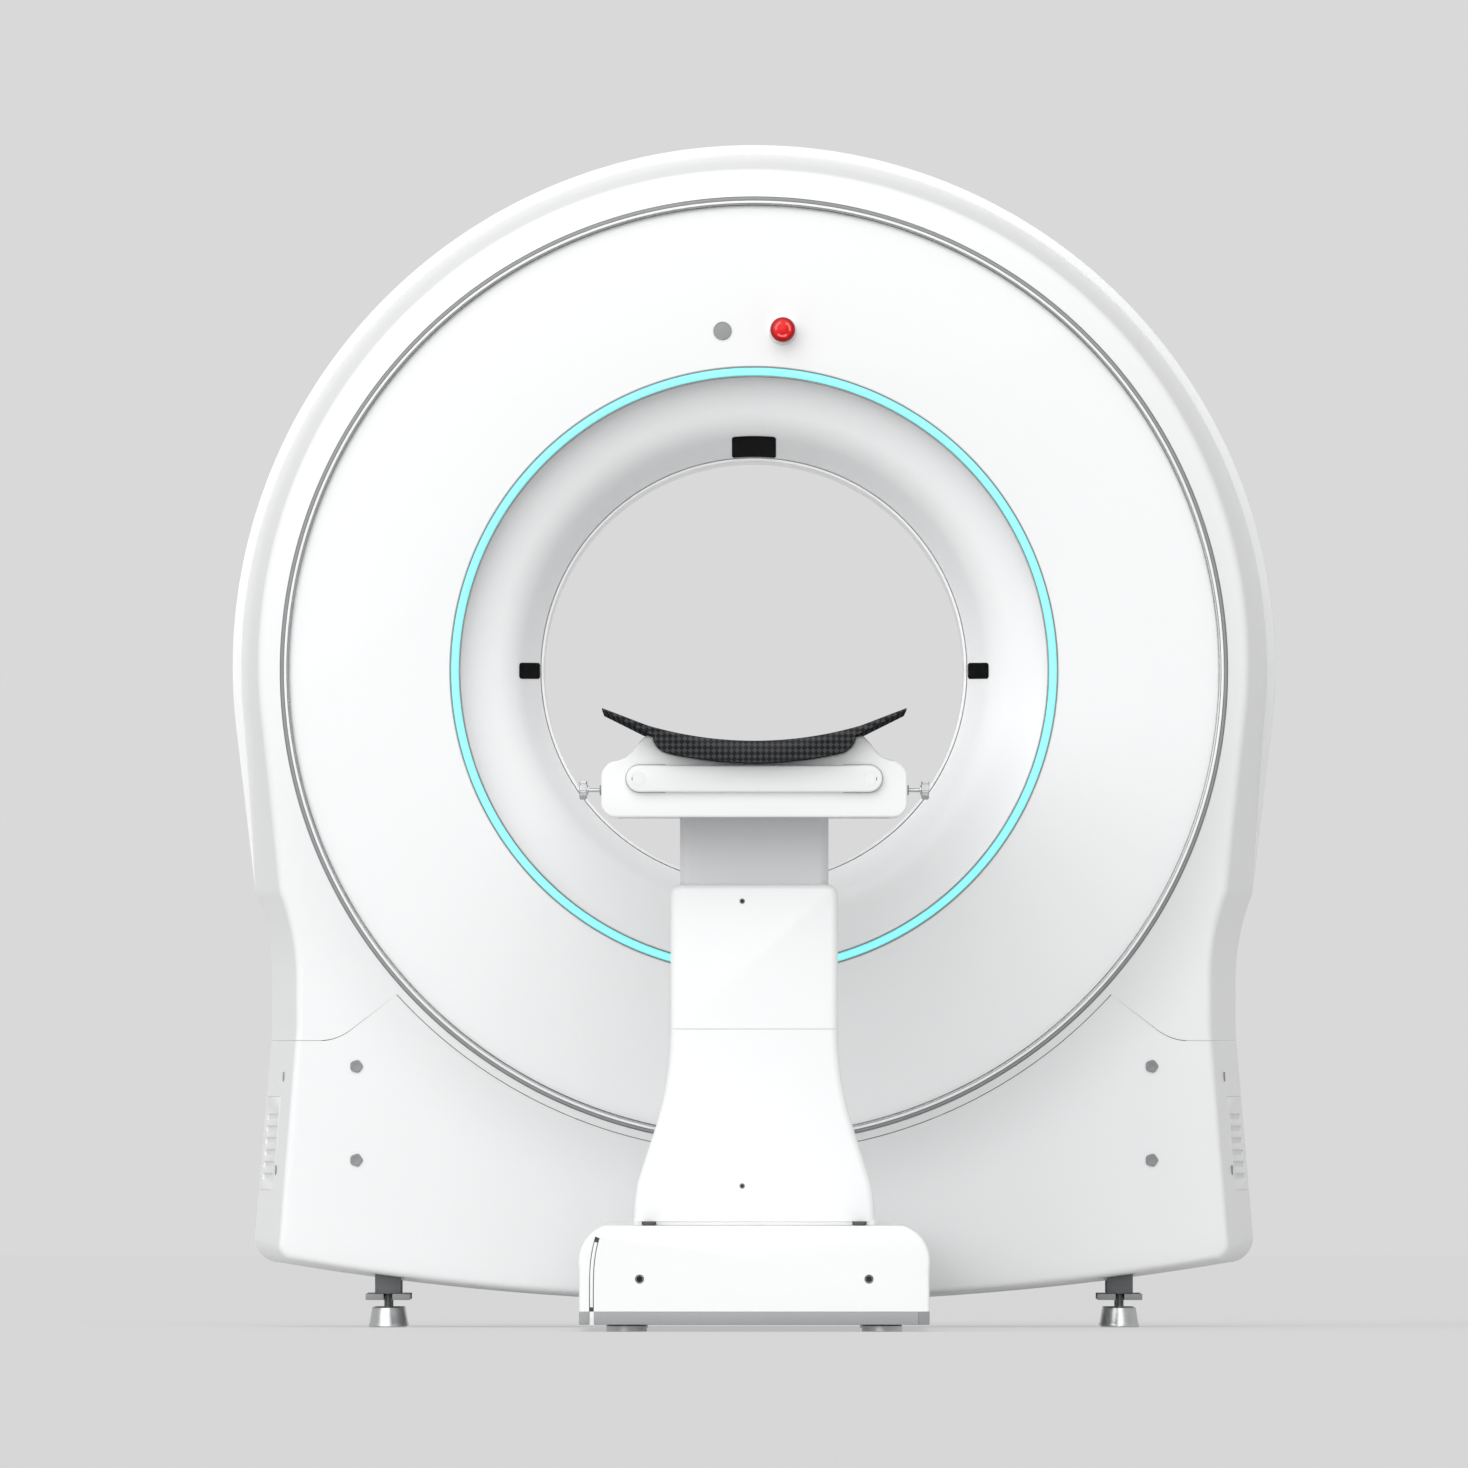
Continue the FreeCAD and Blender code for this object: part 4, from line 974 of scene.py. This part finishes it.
def arrowMark(start):
    # A curved arrow on the button, which shows the way that it turns.
    s = arrowForm
    steps = s["steps"]
    turns = [s["bend"] * step / steps for step in range(steps + 1)]
    places = [(radius, turn) for turn in turns for radius in s["band"]]
    places += [(radius, s["bend"]) for radius in s["head"]] + [(s["tip"], s["end"])]
    verts = [around(stopAxis, radius, s["level"], start + turn) for radius, turn in places]
    tip = 2 * steps + 2
    return verts, skin(steps + 1, 2, False, False) + [(tip, tip + 1, tip + 2)]


for name, settings in controls.items():
    knob(name, *settings)
piece("stopArrows", *joined(map(arrowMark, (0.0, 120.0, 240.0))), "stop_cap", "stop_red", "redPale")
print("controls made")


# Cradle, with its weave on a map of its own

cradleForm = {
    "half": 0.214, "seat": 0.799, "y": (-1.160, 0.380), "steps": 77, "wing": 0.0735, "tip": 0.077,
    "lip": (0.150, 0.0525), "floor": 0.031,
}


def trough(seat):
    # Where the cradle's underside turns from its wing into its round bottom.
    return (0.142, seat + 0.0375), (0.136, seat + 0.023), (0.124, seat + 0.0145)


def cradlePiece():
    s = cradleForm
    seat, steps, (y0, y1) = s["seat"], s["steps"], s["y"]
    horn, turn, flat = trough(seat)
    wing, tip = (s["half"], seat + s["wing"]), (s["half"], seat + s["tip"])
    lip = (s["lip"][0], seat + s["lip"][1])
    outline = path(
        (wing, horn, 10), (horn, turn, flat, 12), (flat, (0.0, seat), mirrored(flat), 40),
        (mirrored(flat), mirrored(turn), mirrored(horn), 12), (mirrored(horn), mirrored(wing), 10),
    ) + [mirrored(wing)]
    outline += path(
        (mirrored(tip), mirrored(lip), 10), (mirrored(lip), (0.0, seat + s["floor"]), lip, 48),
        (lip, tip, 10),
    ) + [tip]
    lengths = [0.0]
    for a, b in zip(outline, outline[1:] + outline[:1]):
        lengths.append(lengths[-1] + math.hypot(b[0] - a[0], b[1] - a[1]))
    work = bmesh.new()
    layer = work.loops.layers.uv.new("weave")
    rows = []
    for step in range(steps + 1):
        y = y0 + (y1 - y0) * step / steps
        rows.append([work.verts.new((x, y, z)) for x, z in outline])
    for step in range(steps):
        for index in range(len(outline)):
            corners = [(index, step), (index + 1, step), (index + 1, step + 1), (index, step + 1)]
            face = work.faces.new([rows[row][i % len(outline)] for i, row in corners])
            for loop, (i, row) in zip(face.loops, corners):
                loop[layer].uv = (lengths[i], (y1 - y0) * row / steps)
    for row in (rows[0][::-1], rows[-1]):
        for loop in work.faces.new(row).loops:
            loop[layer].uv = (loop.vert.co.x + 1.0, loop.vert.co.z)
    bmesh.ops.recalc_face_normals(work, faces=work.faces)
    mesh = bpy.data.meshes.new("carbonCradle")
    work.to_mesh(mesh)
    work.free()
    obj = placed("carbonCradle", mesh)
    bevelled(obj, 0.0008, 2, 50.0)
    smooth(obj.data, 35.0)
    settle(obj, "lift", "carbon_black", "carbon", ["patient_cradle"])
    # The underside comes matt from its mould.
    obj.data.materials.append(paint["carbonUnder"])
    for face in obj.data.polygons:
        face.material_index = 1 if face.normal.z < -0.2 else 0


cradlePiece()
print("cradle made")


# Cradle holder, its front bar and its clamps

holderForm = {
    "half": 0.215, "low": 0.7225, "corner": 0.020, "gap": 0.0003, "y": (-1.120, -0.620),
    "wall": 0.006, "round": 0.0035, "rooms": [(0.209, 0.7435, 0.776), (0.191, 0.700, 0.787)],
    "bore": (0.230, 0.0032), "edge": 0.782, "cheek": (0.192, 0.803), "rise": (0.166, 0.823),
    "crest": (0.1565, 0.8335),
}
barForm = {
    "half": 0.180, "level": 0.777, "radius": 0.019, "y": (-1.132, -1.120),
    # edging is where the dark line round the bar's ends begins: painted shade for the shadow gap
    # there
    "round": (0.003, 0.0009), "edging": 0.125, "proud": 0.0009, "shadeLineY": (-1.1228, -1.1196),
    "plug": 0.163, "face": -1.1319, "slotShadeX": 0.1717, "slotShadeFront": -1.1327,
    "slotShade": [(-0.0006, 0.7747), (0.0006, 0.7747), (0.0003, 0.7793), (-0.0003, 0.7793)],
}
clampForm = {
    "place": (0.235, -1.010, 0.761), "head": 0.0126, "length": 0.011, "rod": 0.0028, "ribs": 36,
}


def holderOutline():
    s = holderForm
    side, low, corner = s["half"], s["low"], s["corner"]
    seat = cradleForm["seat"] - s["gap"]
    slack = corner * (1 - math.sqrt(0.5))
    heel, edge = (side, low + corner), (side, s["edge"])
    cheek, rise, crest = s["cheek"], s["rise"], s["crest"]
    flat = trough(seat)[2]
    right = path(
        ((side - corner, low), (side - slack, low + slack), heel, 12), (heel, edge, 4),
        (edge, (0.209, 0.794), cheek, 12), (cheek, (0.176, 0.811), rise, 10), (rise, crest, 3),
        (crest, (0.1492, 0.8372), (0.1425, 0.8345), 8), (*trough(seat), 14),
    )
    right += arcPoints(flat, (0.0, seat), mirrored(flat), 60)[:30]
    return bothSides(right, (0.0, seat))


def pillOutline(grow=0.0, cut=None):
    s = barForm
    radius = s["radius"] + grow
    x = s["half"] - s["radius"]
    z = s["level"]
    right = arcPoints((x, z - radius), (x + radius, z), (x, z + radius), 28) + [(x, z + radius)]
    return bothSides(right) if cut is None else right + [(cut, z + radius), (cut, z - radius)]


def holderPieces():
    s, b = holderForm, barForm
    y0, y1 = s["y"][0] + s["wall"], s["y"][1] - s["wall"]
    holes = [block((-half, y0, low), (half, y1, high)) for half, low, high in s["rooms"]]
    half, bore = s["bore"]
    y, z = clampForm["place"][1:]
    holes.append(block((-half, y - bore, z - bore), (half, y + bore, z + bore)))
    body = drilled(slabOf(holderOutline(), s["y"], s["round"]), *holes)
    finished(body, "cradleHolder", "lift", "white_cover", "cover", ["cradle_holder"])
    bar = slabOf(pillOutline(), b["y"], *b["round"])
    finished(bar, "holderBar", "lift", "bar_white", "bar", ["holder_front_bar"])
    # A dark grey strip behind each end of the bar, a little wider than the bar, shows as a thin
    # dark outline: painted shade for the shadow gap round the bar's ends.
    rightShadeLine = pillOutline(b["proud"], b["edging"])
    plug = [
        (0.0, 0.0), (0.0100, 0.0), (0.0100, 0.0003), (0.0097, 0.0005), (0.0090, 0.0005),
        (0.0087, 0.0002), (0.0082, 0.0002), (0.0079, 0.0005), (0.0, 0.0005),
    ]
    for side, label in ((1, "Right"), (-1, "Left")):
        edge = rightShadeLine if side > 0 else [mirrored(point) for point in rightShadeLine]
        edging = slabOf(edge, b["shadeLineY"], 0.0003, steps=2)
        finished(edging, "barEdging" + label, "lift", "bar_white", "edging")
        axis = (Vector((side * b["plug"], b["face"], b["level"])), Vector((0.0, -1.0, 0.0)))
        knob("barPlug" + label, plug, axis, "lift", "bar_white", "bar")
        # A small dark mark stands proud of the bar beside each plug: painted shade for a narrow
        # slot there.
        corners = [(side * b["slotShadeX"] + x, z) for x, z in b["slotShade"]]
        slotShade = slabOf(corners, (b["slotShadeFront"], b["face"]), 0.0001, steps=1)
        finished(slotShade, "barMark" + label, "lift", "bar_white", "dark")


def clampPieces():
    s = clampForm
    x, y, z = s["place"]
    r, n, rod = s["head"], s["length"], s["rod"]
    screw = [
        (0.0, -0.050), (rod - 0.0004, -0.050), (rod, -0.0495), (rod, -0.0020),
        (0.0070, -0.0018), (0.0070, 0.0), (r - 0.0008, 0.0), (r, 0.0010), (r, n - 0.0010),
        (r - 0.0010, n), (0.0076, n), (0.0070, n - 0.0006), (0.0, n - 0.0006),
    ]
    collar = [
        (0.0, 0.0), (0.0072, 0.0), (0.0072, 0.0018), (0.0064, 0.0026), (0.0032, 0.0026),
        (0.0, 0.0026),
    ]
    values = {
        "Ribs": s["ribs"], "Radius": r - 0.0001, "Rib Radius": 0.0008, "Length": n - 0.003,
        "Start": n / 2, "Surface": paint["steel"],
    }
    for side, label in ((-1, "left"), (1, "right")):
        values.update({"Turn": facingWays[label], "Place": (side * x, y, z)})
        look = (label + "_clamp", "plain_steel", "steel", ["clamp_screw_" + label])
        grown(label + "Clamp", turnedItem(screw, 48), trees["knurl"], values, *look)
        axis = (Vector((side * 0.2148, y, z)), Vector((side, 0.0, 0.0)))
        knob(label + "Bush", collar, axis, "lift", "white_cover", "cap")


holderPieces()
clampPieces()
print("holder made")


# Table base

baseForm = {
    "half": 0.246, "top": 0.149, "wide": 0.037, "tall": 0.060, "low": 0.0285, "wall": 0.005,
    "y": (-1.200, 0.450), "round": 0.0045, "slit": (0.0033, 0.014), "slitTop": 0.133,
    "screws": (0.161, 0.074, 0.0064), "screwSinks": (0.0068, 0.0050), "front": 0.019,
    "armSlot": ((-0.015, -0.887, 0.100), (0.015, 0.047, 0.200)),
}
slitPath = [
    (-0.2286, 0.0), (-0.2286, 0.066), (-0.2279, 0.092), (-0.2256, 0.1105), (-0.2222, 0.126),
    (-0.2180, 0.139),
]


def beneath(level):
    # A block that takes away all of the table below a level.
    return block((-1.0, -2.0, -0.1), (1.0, 2.0, level))


def baseOutline(inset, low):
    s = baseForm
    half, top = s["half"] - inset, s["top"] - inset
    wide, tall = s["wide"], s["tall"]
    share = 1 - math.sqrt(0.5)
    corner, crown = (half - wide * share, top - tall * share), (half - wide, top)
    return bothSides([(half, low), *arcPoints((half, top - tall), corner, crown, 24), crown])


def slitBand(half, low, top):
    # The slit's outline, a half width to each side of its path, between two levels.
    points = rounded([(0.5, 0.0), *slitPath, (0.5, 0.2)], 0.012, 8)
    points = [tuple(point) for point in points if point[0] < -0.2185]
    left, right = [], []
    for before, here, after in zip(points, points[1:], points[2:]):
        way = Vector((after[0] - before[0], after[1] - before[1])).normalized()
        if low <= here[1] <= top:
            left.append((here[0] - way.y * half, here[1] + way.x * half))
            right.append((here[0] + way.y * half, here[1] - way.x * half))
    for side in (left, right):
        if side[0][1] > low + 1e-4:
            side.insert(0, (side[0][0], low))
    return distinct(left + right[::-1])


def baseCover():
    s = baseForm
    y0, y1 = s["y"]
    obj = slabOf(baseOutline(0.0, 0.010), s["y"], s["round"])
    half, depth = s["slit"]
    top = s["slitTop"]
    tools = [
        prism(baseOutline(s["wall"], -0.010), (y0 + s["front"], y1 - s["wall"])),
        beneath(s["low"]), prism(slitBand(half, 0.020, top), (y0 - 0.01, y0 + depth)),
        block(*s["armSlot"]),
    ]
    x, z, radius = s["screws"]
    turns = [t / 16 * math.pi for t in range(32)]
    for side in (-1, 1):
        hole = [(side * x + radius * math.cos(t), z + radius * math.sin(t)) for t in turns]
        tools.append(prism(hole, (y0 - 0.01, y0 + 0.007)))
    drilled(obj, *tools)
    finished(obj, "baseCover", "stand", "white_cover", "cover", ["base_cover"])
    outline = slitBand(half - 0.0011, 0.0345, top - 0.006)
    insert = slabOf(outline, (y0 + 0.0006, y0 + 0.0135), 0.0004, steps=2)
    finished(insert, "slitInsert", "stand", "white_cover", "cover")
    outline = slitBand(half - 0.0001, 0.0286, top - 0.0002)
    gasket = slabOf(outline, (y0 + 0.004, y0 + 0.0139), 0.0001, steps=1)
    finished(gasket, "slitGasket", "stand", "white_cover", "dark")
    heads, pits = ([(side * x, y0 + sink, z) for side in (-1, 1)] for sink in s["screwSinks"])
    head = socketHead(0.0061, 0.0052, 0.0040)
    spread("baseScrews", head, heads, "front", "stand", "white_cover", "lamp")
    # Dark discs in the base screws' sockets: painted shade.
    spread("baseSockets", turnedItem(socketShade(0.0043)), pits, "front", "stand", "white_cover", "rubber")


def baseTrim():
    filler = slabOf(band(-0.2316, -0.2250, 0.0100, 0.0284), (-1.1975, -1.190), 0.0002, steps=2)
    finished(filler, "plateFiller", "stand", "plate_grey", "bar")
    end = slabOf(band(0.2306, 0.2459, 0.0101, 0.0284), (-1.1999, -1.1905), 0.0006, 0.0001)
    finished(end, "plateEnd", "stand", "plate_grey", "plateEnd")
    for index, sides in enumerate(((-0.169, -0.1580), (-0.1380, 0.1380), (0.1580, 0.169))):
        wiper = slabOf(band(*sides, 0.1494, 0.1560), (-1.0185, -1.0120), 0.0003, steps=2)
        finished(wiper, "baseWiper%d" % index, "carriage", "plate_grey", "disc")


baseCover()
baseTrim()
print("table base made")


# Table column

columnForm = {
    "foot": 0.169, "half": 0.1175, "seam": 0.425, "low": 0.1549, "toe": 0.178, "bend": 0.456,
    "turn": 18.0, "y": (-1.020, -0.720), "wall": 0.005, "round": 0.0105, "top": 0.629,
    "topRound": 0.018, "gap": 0.0005, "lap": 0.04, "roof": 0.018,
    "opening": ((-0.105, -0.9675, -0.022), (0.105, -0.7725, 0.01)),
    "screws": [(-0.017, 0.605), (-0.017, 0.2045)],
}


def columnOutline(inset, low, high):
    s = columnForm
    half, foot = s["half"] - inset, s["foot"] - inset
    seam, bend = s["seam"], s["bend"]
    turns = [math.radians(s["turn"]) * share for share in (0.5, 1.0)]
    bends = [(bend * (1 - math.cos(turn)), bend * math.sin(turn)) for turn in turns]
    middle, slope = ((half + out, seam - down) for out, down in bends)
    run = 0.85 * (foot - slope[0])
    heel = (slope[0] + run, slope[1] - run / math.tan(turns[1]))
    toe = rounded([heel, (foot, s["toe"]), (foot, low)], [0.0, 0.012, 0.0], 6)
    right = [(half, high)] + path(((half, seam), middle, slope, 24), (slope, heel, 8))
    return bothSides(right + [tuple(point) for point in toe])


def columnPieces():
    s = columnForm
    y0, y1 = s["y"]
    inside = (y0 + s["wall"], y1 - s["wall"])
    seam, top, half, lap = s["seam"], s["top"], s["half"], s["lap"]
    low = seam - lap
    lower = slabOf(columnOutline(0.0, s["low"] - lap, seam + lap), s["y"], s["round"])
    drilled(
        lower,
        prism(columnOutline(s["wall"], s["low"] - lap - 0.01, seam + lap + 0.01), inside),
        beneath(s["low"]), block((-1.0, -2.0, seam), (1.0, 2.0, 2.0)),
    )
    finished(lower, "columnLowerCover", "carriage", "white_cover", "cover", ["column_lower_cover"])
    corners = [(half, low), (half, top), (-half, top), (-half, low)]
    turned = rounded(corners, [0.0, s["topRound"], s["topRound"], 0.0], 8)
    upper = slabOf([tuple(point) for point in turned], s["y"], s["round"])
    inner = half - s["wall"]
    drilled(
        upper,
        block((-inner, inside[0], low - 0.01), (inner, inside[1], top - s["roof"])),
        block(*((x, y, top + z) for x, y, z in s["opening"])), beneath(seam + s["gap"]),
    )
    finished(upper, "columnUpperCover", "carriage", "white_cover", "cover", ["column_upper_cover"])
    for label, y, out in (("Front", y0, -1), ("Back", y1, 1)):
        for kind, item, sink, look in (
            ("Screws", socketHead(0.0038, 0.0012, 0.0022), 0.0002, "block"),
            # Dark discs in the sockets: painted shade.
            ("Sockets", turnedItem(socketShade(0.0024)), -0.0002, "rubber"),
        ):
            places = [(x, y - out * sink, z) for x, z in s["screws"]]
            settings = (item, places, label.lower(), "carriage", "white_cover", look)
            spread("column" + kind + label, *settings)


columnPieces()
print("column made")


# The nodes' own forms with moulded edges: node, edge width, slot and paint

softForms = {
    "basePlate": ("base_plate", 0.0012, "plate_grey", "plate"),
    "baseSideStrip": ("base_side_strip", 0.0012, "plate_grey", "plate"),
    "guideRails": ("guide_rails", 0.001, "dark_paint", "motor"),
    "columnStage": ("column_stage", 0.001, "stage_grey", "stagePaint"),
    "holderBasePlate": ("holder_base_plate", 0.001, "plain_steel", "steel"),
    "footBlocks": ("foot_blocks", 0.0012, "dark_paint", "block"),
    "lockPlates": ("foot_lock_plates", 0.001, "plain_steel", "plate"),
    "railShoes": ("rail_shoes", 0.001, "plain_steel", "steel"),
    "carriagePlate": ("carriage_plate", 0.001, "frame_paint", "frame"),
    "tieBlock": ("gantry_tie_block", 0.002, "frame_paint", "frame"),
}
softPieces = {name: softened(name, *settings) for name, settings in softForms.items()}
plateNotch = ((0.2304, -1.300, -0.1), (0.3, -1.1895, 0.0286))
drilled(softPieces["basePlate"], block(*plateNotch))


# Small parts on the covers and below them

smallForm = {
    "caps": [(side * 0.568, 0.5162, level) for side in (-1, 1) for level in (0.3731, 0.2391)],
    "discs": [(side * 0.1795, y, 0.0) for side in (-1, 1) for y in (-1.110, 0.360)],
    "back": [spin((0.655, 0.7138, turn)) for turn in (-32, 0, 30, 60, 90, 120, 150, 180, 212)],
    "cap": [
        (0.0, 0.0), (0.0093, 0.0), (0.0093, 0.0018), (0.0086, 0.0028), (0.0070, 0.0031),
        (0.0052, 0.0026), (0.0032, 0.0022), (0.0, 0.0021),
    ],
    "foot": [
        (0.0, 0.0), (0.0262, 0.0), (0.0275, 0.0012), (0.0275, 0.0042), (0.0264, 0.0060),
        (0.0228, 0.0275), (0.0219, 0.0285), (0.0062, 0.0285),
    ],
    "disc": [
        (0.0, 0.0), (0.0276, 0.0), (0.0285, 0.0008), (0.0285, 0.0080), (0.0278, 0.0088),
        (0.0060, 0.0088), (0.0, 0.0088),
    ],
    "stem": [(0.0, 0.0), (0.0272, 0.0), (0.0274, 0.0012), (0.0, 0.0012)],
}
sideForm = {
    "half": 0.684, "fall": 0.083, "widen": 0.1186,
    "screws": [(0.152, 0.358), (0.152, 0.2245)], "screwSink": 0.0006, "sinks": (0.0024, 0.0036),
    "baffle": [(0.158, 0.190), (0.340, 0.190), (0.340, 0.336), (0.158, 0.336)],
}


def threads(radius, low, high, pitch):
    made = []
    z = low
    while z + pitch <= high:
        made += [(radius, z), (radius - pitch * 0.35, z + pitch / 2)]
        z += pitch
    return made + [(radius, z)]


def smallParts():
    s = smallForm
    cap = turnedItem(s["cap"], 60, 5, 0.09)
    disc, stem = turnedItem(s["disc"], 64), turnedItem(s["stem"])
    foot = turnedItem(s["foot"] + threads(0.0057, 0.0287, 0.0500, 0.0015) + [(0.0, 0.0510)], 48)
    feet = [(x, y, 0.0) for x, y in footPlaces]
    stems = [(x, y, 0.0087) for x, y, _ in s["discs"]]
    rearScrew = socketHead(0.0065, 0.0028, 0.0030)
    spread("screwCaps", cap, s["caps"], "front", "stand", "cap_grey", "cap", ["cover_screw_caps"])
    spread("levellingFeet", foot, feet, "up", "stand", "foot_rubber", "steel", ["levelling_feet"])
    spread("discFeet", disc, s["discs"], "up", "stand", "foot_rubber", "steel", ["base_feet"])
    spread("discStems", stem, stems, "up", "stand", "foot_rubber", "dark")
    spread("rearScrews", rearScrew, s["back"], "back", "stand", "white_cover", "cap")


def sidePoint(side, depth, level, sink):
    # A point on the lower cover's side, a little below its surface.
    s = sideForm
    half = s["half"] - s["fall"] * level + s["widen"] * depth
    return (side * (half - sink), gantryFront + depth, level)


def sideParts():
    s = sideForm
    for side, label in ((-1, "Left"), (1, "Right")):
        places = [sidePoint(side, *place, s["screwSink"]) for place in s["screws"]]
        head = socketHead(0.0070, 0.0022, 0.0030)
        spread("sideScrews" + label, head, places, label.lower(), "stand", "white_cover", "edging")
        verts = [sidePoint(side, *corner, sink) for sink in s["sinks"] for corner in s["baffle"]]
        faces = [(0, 1, 2, 3), (7, 6, 5, 4)] + skin(2, 4, wrap=False)
        piece("ventBaffle" + label, verts, faces, "stand", "white_cover", "stagePaint")


smallParts()
sideParts()
plainNodes = {
    "dark": ["emergency_stop_stem"], "frame": ["gantry_frame"], "rubber": ["drive_belt"],
    "weight": ["balance_weight"], "motor": ["drive_motor", "lift_actuator"],
    "steel": ["bearing_ring", "motor_pulley", "lift_rod"],
    "drum": [
        "rotor_drum", "xray_tube", "beam_collimator", "detector_arc", "detector_bracket",
        "high_voltage_generator", "column_profile",
    ],
}
for material, names in plainNodes.items():
    for name in names:
        nodes[name].data.materials.clear()
        nodes[name].data.materials.append(paint[material])
print("table made")


# Floor, light and camera

lookForms = {
    "ground": 0.694, "floor": 0.655, "floorGlow": 0.7, "floorReach": 40.0, "width": 2.092,
    "lens": 1700.0, "sensor": 36.0, "aim": (-0.0285, 0.0, 0.8465), "height": 0.36, "plane": 0.3,
    "skyLeft": 0.72, "skyRight": 0.42, "key": 1.79, "keyWay": (0.25, 0.79, -0.56), "keyAngle": 70.0,
}


def flatTone(level):
    return (level, level, level, 1.0)


def straightRays(tree):
    # One for the rays that see the background: camera, glossy and transmission.
    rays = tree.nodes.new("ShaderNodeLightPath").outputs
    names = ("Is Camera Ray", "Is Glossy Ray", "Is Transmission Ray")
    camera, glossy, through = (Val(tree, rays[name]) for name in names)
    return (camera + glossy + through).math("MINIMUM", 1.0)


def floorAndSky():
    s = lookForms
    reach = s["floorReach"]
    mesh = bpy.data.meshes.new("floor")
    corners = [(-reach, -reach, 0), (reach, -reach, 0), (reach, reach, 0), (-reach, reach, 0)]
    mesh.from_pydata(corners, [], [(0, 1, 2, 3)])
    color = (s["floor"],) * 3
    material, shader, here = shade("floorPale", color, 0.9, gloss=0.0)
    feed(here.noise(0.8, 2.0).tint(color, 0.995, 1.005), shader, "Base Color")
    tree = material.node_tree
    glow = tree.nodes.new("ShaderNodeEmission")
    glow.inputs["Color"].default_value = flatTone(s["ground"])
    blend = tree.nodes.new("ShaderNodeMixShader")
    feed(straightRays(tree) * s["floorGlow"], blend, 0)
    tree.links.new(shader.outputs["BSDF"], blend.inputs[1])
    tree.links.new(glow.outputs["Emission"], blend.inputs[2])
    tree.links.new(blend.outputs["Shader"], tree.nodes["Material Output"].inputs["Surface"])
    mesh.materials.append(material)
    placed("floor", mesh)
    world = bpy.data.worlds.new("studio")
    bpy.context.scene.world = world
    world.use_nodes = True
    tree = world.node_tree
    way = Val(tree, tree.nodes.new("ShaderNodeTexCoord").outputs["Generated"]).parts()
    side = (way[0] * 0.5 - way[2] * 0.85).between(-1.0, 1.0)
    sky = side.mix(flatTone(s["skyLeft"]), flatTone(s["skyRight"]))
    seen = straightRays(tree).mix(sky, flatTone(s["ground"]))
    feed(seen, tree.nodes["Background"], "Color")
    tree.nodes["Background"].inputs["Strength"].default_value = 1.0


def keyLamp():
    s = lookForms
    data = bpy.data.lights.new("key", "SUN")
    data.energy = s["key"]
    data.angle = math.radians(s["keyAngle"])
    placed("key", data).rotation_euler = Vector(s["keyWay"]).to_track_quat("-Z", "Y").to_euler()


def cameraAt():
    s = lookForms
    data = bpy.data.cameras.new("camera")
    data.lens = s["lens"]
    data.sensor_width = s["sensor"]
    away = s["width"] * s["lens"] / s["sensor"]
    data.clip_start = 1.0
    data.clip_end = away + 60.0
    obj = placed("camera", data)
    obj.location = (s["aim"][0], s["plane"] - away, s["height"])
    pitch = math.atan((s["aim"][2] - s["height"]) / away)
    obj.rotation_euler = (quarter + pitch, 0.0, 0.0)
    bpy.context.scene.camera = obj


floorAndSky()
keyLamp()
cameraAt()
bpy.context.scene.view_settings.view_transform = "Standard"
